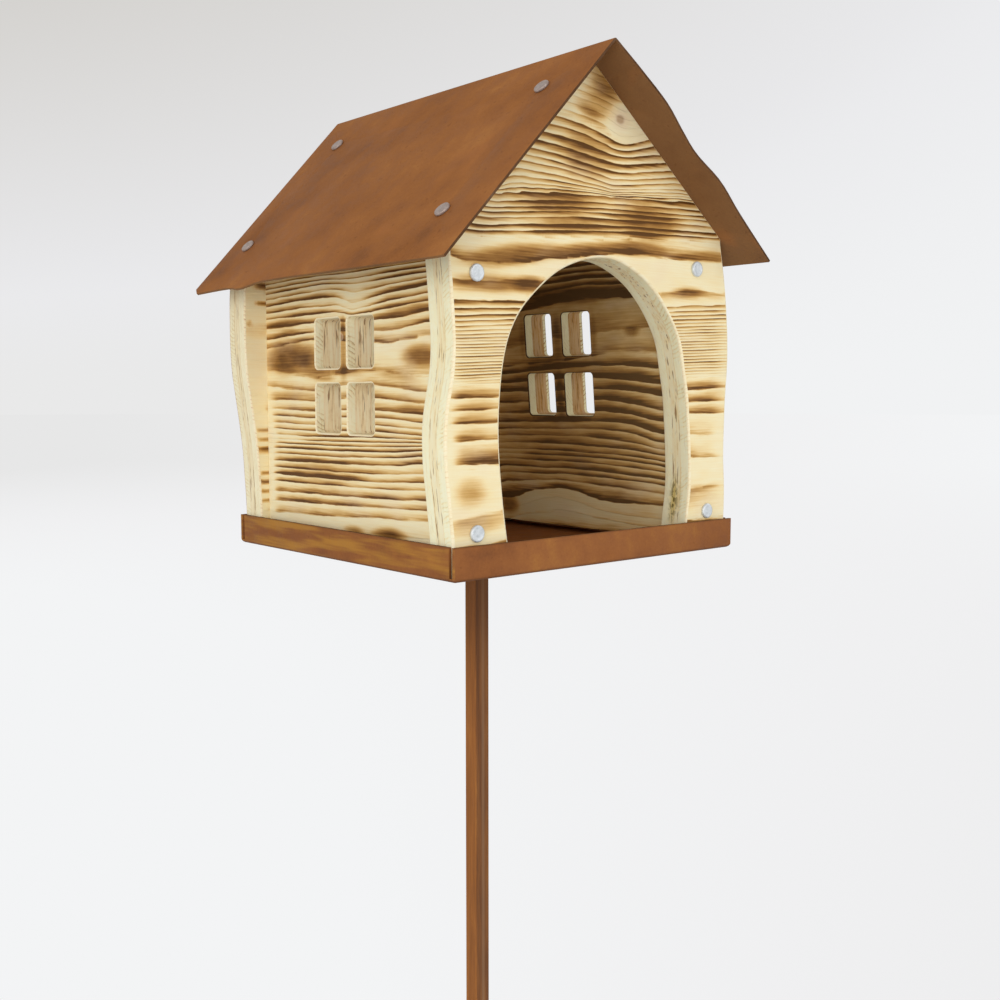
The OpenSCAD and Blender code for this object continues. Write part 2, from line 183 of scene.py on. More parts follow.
class Graph:
    """A node tree of a material or the world, with one method for each kind of node it needs."""

    def __init__(self, owner: bpy.types.Material | bpy.types.World) -> None:
        """Empties the tree of a material or world.

        Args:
            owner: The material or world.
        """
        owner.use_nodes = True
        self.owner = owner
        self.tree = owner.node_tree
        self.tree.nodes.clear()

    @classmethod
    def material(cls, name: str) -> Graph:
        """Starts a new material with that name."""
        return cls(bpy.data.materials.new(name))

    def put(self, socket: bpy.types.NodeSocket, value: Term) -> None:
        """Links a field to a socket, or sets the socket's own value.

        Args:
            socket: The socket.
            value: The field, or a number, vector or colour.
        """
        if isinstance(value, Field):
            self.tree.links.new(value.socket, socket)
        else:
            socket.default_value = value

    def node(self, kind: str, settings: dict[str, object] | None = None, **inputs: Term) -> bpy.types.Node:
        """Adds a node.

        Args:
            kind: The node's type name.
            settings: Its properties.
            inputs: Its inputs, by name with an underscore for each space.

        Returns:
            The node.
        """
        made = self.tree.nodes.new(kind)
        for key, value in (settings or {}).items():
            setattr(made, key, value)
        for key, value in inputs.items():
            self.put(made.inputs[key.replace("_", " ")], value)
        return made

    def math(self, operation: str, *values: Term) -> Field:
        """Adds a Math node.

        Args:
            operation: What it works out.
            values: Its inputs, in order.

        Returns:
            Its result.
        """
        made = self.node("ShaderNodeMath", {"operation": operation})
        for socket, value in zip(made.inputs, values):
            self.put(socket, value)
        return Field(self, made.outputs[0])

    def smooth(self, value: Term, low: float, high: float, start: float = 0.0, end: float = 1.0) -> Field:
        """Goes smoothly from start to end as the value goes from low to high.

        Args:
            value: What is measured.
            low: Where the change starts.
            high: Where it is done.
            start: The result below low.
            end: The result above high.

        Returns:
            The smoothed value.
        """
        made = self.node("ShaderNodeMapRange", {"interpolation_type": "SMOOTHSTEP"})
        for socket, setting in zip(made.inputs, (value, low, high, start, end)):
            self.put(socket, setting)
        return Field(self, made.outputs[0])

    def attribute(self, name: str, vector: bool = False) -> Field:
        """A value that the mesh carries."""
        made = self.node("ShaderNodeAttribute", {"attribute_name": name})
        return Field(self, made.outputs["Vector" if vector else "Fac"])

    def place(self) -> Field:
        """Measures where a point lies.

        Returns:
            Its place in the row frame, in mm.
        """
        coords = self.node("ShaderNodeTexCoord")
        made = self.node("ShaderNodeVectorMath", {"operation": "SCALE"}, Scale=1 / MM)
        self.put(made.inputs[0], Field(self, coords.outputs["Object"]))
        return Field(self, made.outputs[0])

    def join(self, x: Term, y: Term, z: Term) -> Field:
        """A vector made from three values."""
        return Field(self, self.node("ShaderNodeCombineXYZ", X=x, Y=y, Z=z).outputs[0])

    def noise(self, at: Field, scale: float = 1.0, detail: float = 2.0, twist: float = 0.0) -> Field:
        """Adds soft noise.

        Args:
            at: The vector that it is read at.
            scale: Waves per unit of that vector.
            detail: Number of finer octaves.
            twist: Distortion.

        Returns:
            The noise, from 0 to 1.
        """
        made = self.node("ShaderNodeTexNoise", Vector=at, Scale=scale, Detail=detail, Distortion=twist)
        return Field(self, made.outputs[0])

    def chance(self, number: Field) -> Field:
        """A random value from 0 to 1 for each whole number."""
        made = self.node("ShaderNodeTexWhiteNoise", {"noise_dimensions": "1D"}, W=number)
        return Field(self, made.outputs["Value"])

    def ramp(self, value: Field, stops: Scale) -> Field:
        """Reads a colour from a scale of display colours.

        Args:
            value: Where on the scale.
            stops: The scale's colours and where they stand on it.

        Returns:
            The colour.
        """
        made = self.node("ShaderNodeValToRGB", Fac=value)
        marks = made.color_ramp.elements
        for mark, (position, tone) in zip(list(marks), (stops[0], stops[-1])):
            mark.position, mark.color = position, linear(tone)
        for position, tone in stops[1:-1]:
            marks.new(position).color = linear(tone)
        return Field(self, made.outputs["Color"])

    def tint(self, colour: Field, share: Term, tone: Tone) -> Field:
        """A colour turned towards a display colour, by a share from 0 to 1."""
        return self.blend(share, colour, linear(tone))

    def blend(self, share: Term, first: Term, second: Term) -> Field:
        """Mixes two colours.

        Args:
            share: How much of the second, from 0 to 1.
            first: The first colour.
            second: The second colour.

        Returns:
            The mixed colour.
        """
        made = self.node("ShaderNodeMix", {"data_type": "RGBA"})
        for socket, value in zip((made.inputs[0], *made.inputs[6:8]), (share, first, second)):
            self.put(socket, value)
        return Field(self, made.outputs[2])

    def between(self, share: Term, first: Term, second: Term) -> Field:
        """Mixes two numbers.

        Args:
            share: How much of the second, from 0 to 1.
            first: The first number.
            second: The second number.

        Returns:
            The mixed number.
        """
        made = self.node("ShaderNodeMix", {"data_type": "FLOAT"})
        for socket, value in zip((made.inputs[0], *made.inputs[2:4]), (share, first, second)):
            self.put(socket, value)
        return Field(self, made.outputs[0])

    def surface(
        self, colour: Term, roughness: Term, height: Field, depth: float, **fixed: float,
    ) -> bpy.types.Material:
        """Ends a material with its shader.

        Args:
            colour: The base colour.
            roughness: The roughness.
            height: The relief, from 0 to 1.
            depth: The relief's depth in mm.
            fixed: Shader inputs that are the same all over.

        Returns:
            The finished material.
        """
        relief = self.node("ShaderNodeBump", Strength=1.0, Distance=depth * MM, Height=height)
        shader = self.node("ShaderNodeBsdfPrincipled", Base_Color=colour, Roughness=roughness, **fixed)
        self.put(shader.inputs["Normal"], Field(self, relief.outputs[0]))
        out = self.node("ShaderNodeOutputMaterial")
        self.tree.links.new(shader.outputs[0], out.inputs[0])
        return self.owner

    def seen(self) -> Field:
        """Tells a ray that shows a surface from one that only carries light.

        Returns:
            1 where the surface is seen directly, in a gloss or through glass, and 0 elsewhere.
        """
        ray = self.node("ShaderNodeLightPath")
        kinds = ("Is Camera Ray", "Is Glossy Ray", "Is Transmission Ray")
        camera, gloss, glass = (Field(self, ray.outputs[kind]) for kind in kinds)
        return self.math("MAXIMUM", self.math("MAXIMUM", camera, gloss), glass)

    def finish(self, share: Field, first: bpy.types.Node, second: bpy.types.Node, output: str) -> None:
        """Ends a tree with two shaders mixed.

        Args:
            share: How much of the second.
            first: The first shader.
            second: The second shader.
            output: The type name of the tree's output node.
        """
        mix = self.node("ShaderNodeMixShader")
        self.put(mix.inputs[0], share)
        self.tree.links.new(first.outputs[0], mix.inputs[1])
        self.tree.links.new(second.outputs[0], mix.inputs[2])
        self.tree.links.new(mix.outputs[0], self.node(output).inputs[0])


# ---------- finishes ----------


@dataclass(frozen=True)
class Finish(ABC):
    """What every finish has: a name and a way to become a material."""

    name: str

    def make(self) -> bpy.types.Material:
        """Makes the material that bears the finish's name."""
        return self.paint(Graph.material(self.name))

    @abstractmethod
    def paint(self, g: Graph) -> bpy.types.Material:
        """Paints the finish.

        Args:
            g: The material's empty tree.

        Returns:
            The finished material.
        """


@dataclass(frozen=True)
class ScorchedWood(Finish):
    """Brushed softwood, scorched so that its rings stand out from pale straw to dark brown."""

    seed: float
    soot: float = 1.0
    # shade: the share of painted shade, which turns the whole face towards a dull grey-brown for a face in
    # the dim inside of the house.
    shade: float = 0.0
    fibre: float = 0.16
    wander: float = 0.5
    depth: float = 0.35
    tones: Scale = (
        (0.0, (255, 244, 206)), (0.12, (253, 233, 182)), (0.25, (241, 207, 145)), (0.4, (214, 170, 102)),
        (0.55, (186, 138, 74)), (0.7, (156, 110, 54)), (0.85, (128, 86, 40)), (1.0, (98, 64, 28)),
    )
    blushing: Scale = ((0.0, (252, 228, 192)), (1.0, (92, 54, 22)))
    painted_shade_tone: Tone = (134, 130, 100)
    knot_halo: Tone = (243, 214, 178)
    knot_core: Tone = (164, 116, 76)

    def ring_bands(self, g: Graph, count: Field) -> Field:
        """Works out how dark each ring is across its own width.

        Args:
            g: The material's tree.
            count: The ring count, which grows by 1 from ring to ring.

        Returns:
            From 0 to 1: dark at one side of the ring, and fading towards the other.
        """
        f = count.fract()
        rest = 1.0 - f
        down, up = (
            start.smooth(0.0, 0.13) * (far ** 1.5 * 0.9 + (1.0 - start.smooth(0.1, 0.4)) * 0.24)
            for start, far in ((rest, f), (f, rest))
        )
        return g.between(g.attribute("upturn"), down, up)

    def paint(self, g: Graph) -> bpy.types.Material:
        """Paints the rings, smudges and knots that the board's mesh carries.

        Args:
            g: The material's empty tree.

        Returns:
            The finished material.
        """
        along, height, _ = g.attribute("board", vector=True).split()

        def grain(along_rate: float, height_rate: float, shift: float, detail: float = 3.0) -> Field:
            """Noise that is drawn out along the grain."""
            return g.noise(g.join(along * along_rate, height * height_rate, self.seed + shift), detail=detail)

        quick = grain(0.09, 0.6, 4.0, 2.0)
        lazy = grain(0.018, 0.11, 0.0, 2.0)
        count = g.attribute("ring") + (lazy - 0.5) * self.wander + (quick - 0.5) * 0.22
        band = self.ring_bands(g, count)
        number = count.floor()
        mood = g.chance(number + self.seed) * 0.8 + 0.6
        drift = g.noise(g.join(along * 0.022, number * 5.3, self.seed + 9.0), detail=1.0)
        patchy = grain(0.06, 0.16, 2.0)
        fibres = grain(0.05, 1.3, 6.0)
        streaks = grain(0.035, 0.9, 15.0).smooth(0.25, 0.7)
        drift = drift.smooth(0.3, 0.68) * 0.75 + 0.5
        rings = g.attribute("scorch") * band * mood * drift * (streaks * 0.6 + 0.7)
        soot = g.attribute("stain") * (patchy * 0.65 + streaks * 0.18 + 0.52)
        dark = (rings + soot) * self.soot + (fibres - 0.5) * self.fibre + (patchy - 0.5) * 0.12 + 0.05
        blush = grain(0.03, 0.05, 12.0, 2.0).smooth(0.5, 0.75)
        colour = g.blend(blush * 0.3, g.ramp(dark, self.tones), g.ramp(dark, self.blushing))
        # Painted shade: the whole face is turned towards a dull grey-brown, for the dim inside of the house.
        if self.shade:
            colour = g.tint(colour, self.shade, self.painted_shade_tone)
        knot = g.attribute("knot")
        grown = (knot + (quick - 0.5) * 0.25).smooth(0.45, 0.95)
        colour = g.tint(colour, knot.smooth(0.1, 0.6) * 0.45, self.knot_halo)
        colour = g.tint(colour, grown * 0.6, self.knot_core)
        relief = fibres * 0.35 + band * 0.5 + quick * 0.15
        roughness = g.smooth(dark, 0.0, 1.0, 0.62, 0.5)
        return g.surface(colour, roughness, relief, self.depth, Specular_IOR_Level=DULL)


@dataclass(frozen=True)
class SandedRim(Finish):
    """The rounded arris of a board, sanded pale after the scorching."""

    name: str = "sanded_rim"
    tones: Scale = (
        (0.25, (255, 247, 216)), (0.45, (254, 240, 202)), (0.62, (247, 226, 180)), (0.85, (220, 190, 136)),
    )
    # How much darker the rim grows towards the outward face.
    outward_dark: float = 0.0

    def paint(self, g: Graph) -> bpy.types.Material:
        """Paints the arris by its place in the board.

        Args:
            g: The material's empty tree.

        Returns:
            The finished material.
        """
        place = g.attribute("board", vector=True)
        along, height, depth = place.split()
        streak = g.noise(g.join(along * 0.05, height * 0.7, depth * 0.3), detail=3.0)
        cloud = g.noise(place, scale=0.09, detail=3.0)
        hatch = (height * 0.42 + depth * 0.2 + cloud * 1.5).fract()
        tone = streak * 0.5 + cloud * 0.4 + hatch.smooth(0.75, 0.95) * 0.14
        # Darker towards the outward face.
        if self.outward_dark:
            tone = tone + (1.0 - depth.smooth(0.6, 4.0)) * self.outward_dark
        return g.surface(g.ramp(tone, self.tones), 0.6, streak, 0.15, Specular_IOR_Level=DULL)


@dataclass(frozen=True)
class PlyEdge(Finish):
    """The sawn edge of a three-ply board: end grain outside, upright grain inside."""

    name: str = "ply_edge"
    tones: Scale = (
        (0.2, (255, 251, 218)), (0.42, (255, 245, 202)), (0.62, (246, 226, 172)), (0.85, (198, 164, 104)),
    )
    core: Tone = (246, 222, 176)
    seams: Point = (6.0, 12.0)
    hatched: float = 0.3
    heart: float = 0.3
    pore: Tone = (142, 94, 40)
    resin: Tone = (208, 182, 88)
    old_resin: Tone = (88, 70, 22)

    def paint(self, g: Graph) -> bpy.types.Material:
        """Paints the plies, their pores and the resin by each point's place in its board.

        Args:
            g: The material's empty tree.

        Returns:
            The finished material.
        """
        place = g.attribute("board", vector=True)
        along, height, depth = place.split()
        cloud = g.noise(place, scale=0.06, detail=3.0)
        fine = g.noise(place, scale=0.5, detail=3.0)
        near, far = self.seams
        outer = (height * 0.43 + depth * 0.2 + cloud * 3.4 + fine * 0.5).fract()
        inner = (height * 0.4 - depth * 0.42 + cloud * 3.4 + fine * 0.5).fract()
        core = (along * 0.35 + depth * 0.5 + cloud * 2.2 + height * 0.012).fract()
        second = g.math("GREATER_THAN", depth, near)
        third = g.math("GREATER_THAN", depth, far)
        middle = second * (1.0 - third)
        hatch = g.between(third, g.between(second, outer, core), inner)
        worn = g.noise(place, scale=0.11, detail=2.0).smooth(0.36, 0.6)
        lines = hatch.smooth(0.45, 0.98) * (1.0 - hatch.smooth(0.96, 1.0))
        lines = lines * worn * (1.0 - middle * 0.7) * (1.0 - third * 0.6)
        upright = g.noise(g.join(along * 0.5, height * 0.05, depth * 0.9), detail=3.0)
        pores = g.noise(g.join(along * 0.35, height * 0.075, depth * 1.0), detail=2.0)
        holes = pores.smooth(0.6, 0.67) * (middle * 0.85 + 0.15)
        first_seam, last_seam = (1.0 - (depth - seam).size().smooth(0.1, 0.35) for seam in (near, far))
        tone = lines * self.hatched + fine * 0.3 + cloud * 0.25 + (first_seam + last_seam) * 0.1 - 0.01
        tone = tone + (upright - 0.42) * (middle * 0.75 + 0.25) * 1.5
        colour = g.tint(g.ramp(tone, self.tones), middle * self.heart, self.core)
        colour = g.tint(colour, holes * 0.75, self.pore)
        resin = g.attribute("knot")
        seep = g.noise(g.join(along * 0.4, height * 0.33, depth * 0.55), detail=3.0)
        colour = g.tint(colour, resin * 0.8, self.resin)
        colour = g.tint(colour, resin * seep.smooth(0.48, 0.57) * 0.9, self.old_resin)
        return g.surface(colour, 0.7, 1.0 - lines * 0.5 - holes * 0.3, 0.25, Specular_IOR_Level=DULL)


@dataclass(frozen=True)
class Rust(Finish):
    """Mild steel left to rust: soft patches, fine specks and, on a bar, streaks along it.

    The rust may be washed to ochre left of ochre_end, and the lowest and highest edges of a hem may be
    darker, the lowest partly as painted shade in the fold. A bar is lighter on its left face and darker on
    its front, with a painted highlight down the front and painted shade under the tray at its top.
    """

    tones: Scale
    stretch: tuple[float, float, float] = (1.0, 1.0, 1.0)
    patch: float = 0.02
    contrast: float = 1.0
    seed: float = 0.0
    ochre: float = 0.0
    ochre_end: float = 0.0
    hem: Point | None = None
    bar: Point | None = None
    speck: Tone = (104, 62, 36)
    bloom: Tone = (178, 112, 58)
    ochre_tone: Tone = (196, 142, 58)
    hem_tone: Tone = (84, 54, 34)

    def paint(self, g: Graph) -> bpy.types.Material:
        """Paints the rust by its place in the row frame.

        Args:
            g: The material's empty tree.

        Returns:
            The finished material.
        """
        place = g.place().split()
        x, y, z = (part * rate for part, rate in zip(place, self.stretch))
        at = g.join(x + self.seed, y, z)
        patches = g.noise(at, scale=self.patch, detail=3.0, twist=0.4)
        blots = g.noise(at, scale=self.patch * 6, detail=4.0)
        grit = g.noise(at, scale=0.7, detail=3.0)
        tone = (patches - 0.5) * 1.5 + (blots - 0.5) * 0.8 + (grit - 0.5) * 0.4
        specks = g.noise(at, scale=0.33, detail=2.0).smooth(0.66, 0.74)
        blooms = g.noise(at, scale=self.patch * 2.3, detail=2.0).smooth(0.58, 0.8)
        colour = g.ramp(tone * self.contrast + 0.5, self.tones)
        colour = g.tint(colour, specks * 0.35, self.speck)
        colour = g.tint(colour, blooms * 0.3, self.bloom)
        if self.ochre:
            colour = self.washed(g, colour, *place)
        if self.hem:
            colour = self.hemmed(g, colour, place[2])
        if self.bar:
            # The bar's lighter left and darker front face, its painted highlight and the painted shade under
            # the tray.
            colour = self.bar_faces_and_painted_light(g, colour, *place)
        relief = grit * 0.6 + blots * 0.4
        roughness = g.smooth(blots, 0.3, 0.7, 0.62, 0.82)
        return g.surface(colour, roughness, relief, 0.25, Specular_IOR_Level=DULL, Metallic=0.0)

    def washed(self, g: Graph, colour: Field, x: Field, y: Field, z: Field) -> Field:
        """Washes the outer side of the left flap with ochre.

        Args:
            g: The material's tree.
            colour: The colour before.
            x: Place to the right, in mm.
            y: Place to the rear, in mm.
            z: Height, in mm.

        Returns:
            The colour after.
        """
        level = g.noise(g.join(y * 0.25, z * 2.6, self.seed), scale=0.08, detail=3.0)
        outside = g.smooth(x, self.ochre_end + 0.1, self.ochre_end + 0.8, self.ochre, 0.0)
        return g.tint(colour, level.smooth(0.35, 0.62) * outside, self.ochre_tone)

    def hemmed(self, g: Graph, colour: Field, z: Field) -> Field:
        """Darkens the lowest and the highest edge: the lowest as dark rust and painted shade in the fold.

        Args:
            g: The material's tree.
            colour: The colour before.
            z: Height, in mm.

        Returns:
            The colour after.
        """
        low, high = self.hem
        # Dark rust and painted shade in the fold at the lowest edge; dark rust on the highest edge.
        ends = g.smooth(z, low + 0.5, low + 1.8, 1.0, 0.0) + z.smooth(high - 0.9, high - 0.3) * 0.5
        return g.tint(colour, ends * 0.55, self.hem_tone)

    def bar_faces_and_painted_light(self, g: Graph, colour: Field, x: Field, y: Field, z: Field) -> Field:
        """Lightens a bar's left face and darkens its front, paints a highlight down the front, and paints
        shade on its upper end under the tray.

        Args:
            g: The material's tree.
            colour: The colour before.
            x: Place to the right, in mm.
            y: Place to the rear, in mm.
            z: Height, in mm.

        Returns:
            The colour after.
        """
        half, top = self.bar
        below = 1.0 - z.smooth(top - 0.8, top - 0.3)
        left_face, sheltered = (g.smooth(part, 0.05 - half, 0.3 - half, 1.0, 0.0) * below for part in (x, y))
        painted_highlight = 1.0 - (x - 0.3).size().smooth(0.4, 1.6)
        # The left face is tinted lighter and the front face darker.
        colour = g.tint(colour, left_face * 0.32, (186, 118, 58))
        colour = g.tint(colour, sheltered * 0.42, (96, 68, 50))
        # Painted highlight: a pale line down the front face.
        colour = g.tint(colour, sheltered * painted_highlight * 0.4, (158, 126, 96))
        # Painted shade: the upper end of the bar darkens under the tray.
        return g.tint(colour, z.smooth(top - 110.0, top - 15.0) * 0.4, (92, 60, 38))


@dataclass(frozen=True)
class CutSteel(Finish):
    """The shorn edge of a sheet, bare where the cutter left it and browning over."""

    name: str = "cut_steel"
    tones: Scale = ((0.35, (78, 52, 32)), (0.55, (98, 68, 44)), (0.75, (122, 94, 72)))

    def paint(self, g: Graph) -> bpy.types.Material:
        """Paints the film of rust and the nicks.

        Args:
            g: The material's empty tree.

        Returns:
            The finished material.
        """
        at = g.place()
        nicks = g.noise(at, scale=0.9, detail=3.0)
        film = g.noise(at, scale=0.06, detail=3.0)
        colour = g.ramp(film * 0.7 + nicks * 0.3, self.tones)
        return g.surface(colour, 0.7, nicks, 0.1, Metallic=0.0, Specular_IOR_Level=0.1)


@dataclass(frozen=True)
class Zinc(Finish):
    """Galvanised steel with its faint grey spangle."""

    name: str = "zinc"
    tones: Scale = ((0.2, (188, 194, 197)), (0.5, (214, 219, 222)), (0.8, (234, 238, 241)))

    def paint(self, g: Graph) -> bpy.types.Material:
        """Paints the spangle and the dull film over it.

        Args:
            g: The material's empty tree.

        Returns:
            The finished material.
        """
        at = g.place()
        cells = g.node("ShaderNodeTexVoronoi", Vector=at, Scale=0.9)
        spangle = Field(g, cells.outputs["Color"]).split()[0]
        dull = g.noise(at, scale=0.35, detail=3.0)
        colour = g.ramp(spangle * 0.2 + dull * 0.55 + 0.12, self.tones)
        roughness = g.smooth(dull, 0.3, 0.7, 0.4, 0.55)
        return g.surface(colour, roughness, dull, 0.12, Metallic=0.45)


# ---------- the lie of the grain ----------


@dataclass(frozen=True)
class Smudge:
    """A soft patch that is scorched more, or less where dark is negative, than what is round it."""

    along: float
    height: float
    half_l: float
    half_h: float
    dark: float
    rise: float = 0.0

    def at(self, points: np.ndarray) -> np.ndarray:
        """Works out how much the patch darkens some places.

        Args:
            points: Places on the face, one a row.

        Returns:
            What it adds at each place.
        """
        dx = points[:, 0] - self.along
        dz = points[:, 1] - self.height - self.rise * dx
        reach = np.sqrt((dx / self.half_l) ** 2 + (dz / self.half_h) ** 2)
        return self.dark * fade(reach, 1.35, 0.25)


@dataclass(frozen=True)
class Knot:
    """A knot: its middle, the radius of its core and of the pale wood round it."""

    along: float
    height: float
    core: float
    halo: float

    def at(self, points: np.ndarray) -> np.ndarray:
        """From 1 in the core to 0 outside the halo, at each of some places."""
        reach = np.hypot(points[:, 0] - self.along, (points[:, 1] - self.height) * 1.25)
        return 0.55 * fade(reach, self.halo, self.core) + 0.45 * fade(reach, self.core * 1.5, self.core * 0.4)


def stations(line: Line, step: float = 9.0) -> list[Point]:
    """Divides a line into stretches of about one step.

    Args:
        line: The line's points.
        step: The length of a stretch in mm.

    Returns:
        The places between them, with both ends.
    """
    found = [line[0]]
    for a, b in zip(line, line[1:]):
        count = max(1, round(math.dist(a, b) / step))
        shares = [k / count for k in range(1, count + 1)]
        found += [(part_way(a[0], b[0], share), part_way(a[1], b[1], share)) for share in shares]
    return found


def part_way(a: float, b: float, share: float) -> float:
    """The value that lies between two, by a share from 0 to 1."""
    return a + (b - a) * share


def thin_plate(at: np.ndarray, values: np.ndarray, slack: float) -> Callable[[np.ndarray], np.ndarray]:
    """Fits a smooth sheet over scattered values.

    Args:
        at: The places, one a row.
        values: The value at each place.
        slack: How freely the sheet may miss them.

    Returns:
        A function that gives the sheet's value at other places.
    """

    def bend(a: np.ndarray, b: np.ndarray) -> np.ndarray:
        """The bending kernel between two sets of places."""
        square = ((a[:, None, :] - b[None, :, :]) ** 2).sum(-1)
        return 0.5 * square * np.log(np.maximum(square, 1e-9))

    n = len(at)
    system = np.zeros((n + 3, n + 3))
    system[:n, :n] = bend(at, at) + slack * np.eye(n)
    system[:n, n] = 1
    system[:n, n + 1:] = at
    system[n:, :n] = system[:n, n:].T
    weights = np.linalg.solve(system, np.append(values, (0.0, 0.0, 0.0)))

    def sheet(places: np.ndarray) -> np.ndarray:
        """The sheet's value at some places, one a row."""
        return bend(places, at) @ weights[:n] + weights[n] + places @ weights[n + 1:]

    return sheet


@dataclass(frozen=True)
class FaceGrain:
    """The grain of one face of a board: its rings, how they bend, and how the torch caught them.

    Rings are [height, ring count] where the grain lies level, and lines say how the edge of a numbered ring
    really runs. Scorch and upturn are [height, value] in the same way. Upturn is 1 where a ring is dark at
    its lower side.
    """

    rings: tuple[Point, ...]
    lines: dict[int, Line]
    scorch: tuple[Point, ...]
    upturn: tuple[Point, ...]
    patches: tuple[Smudge, ...] = ()
    stains: tuple[Smudge, ...] = ()
    knots: tuple[Knot, ...] = ()

    def lie(self) -> Callable[[np.ndarray], np.ndarray]:
        """Fits how the grain bends.

        Returns:
            A function that gives how far above its usual height the grain lies at some places.
        """
        at, lift = [], []
        heights, numbers = zip(*self.rings)
        for ring, line in self.lines.items():
            usual = float(np.interp(ring, numbers, heights))
            for point in stations(line):
                at.append(point)
                lift.append(usual - point[1])
        return thin_plate(np.array(at), np.array(lift), 40.0)

    def fields(self, points: np.ndarray) -> dict[str, np.ndarray]:
        """Works out what the finish needs at each of some places.

        Args:
            points: Places on the face, one a row.

        Returns:
            The ring count, the depth of scorch, the stain, the side that the rings fade to, and the knots.
        """
        height = points[:, 1] + self.lie()(points)
        none = np.zeros(len(points))

        def read(table: tuple[Point, ...]) -> np.ndarray:
            """A table's value at each place, by the height that its grain has where it lies level."""
            return np.interp(height, *zip(*table))

        scorch = read(self.scorch) + sum(p.at(points) for p in self.patches)
        return {
            "ring": read(self.rings),
            "scorch": np.clip(scorch, 0, 1.4),
            "stain": np.clip(sum((p.at(points) for p in self.stains), none), 0, 1.2),
            "upturn": read(self.upturn),
            "knot": np.max([none] + [k.at(points) for k in self.knots], axis=0),
        }


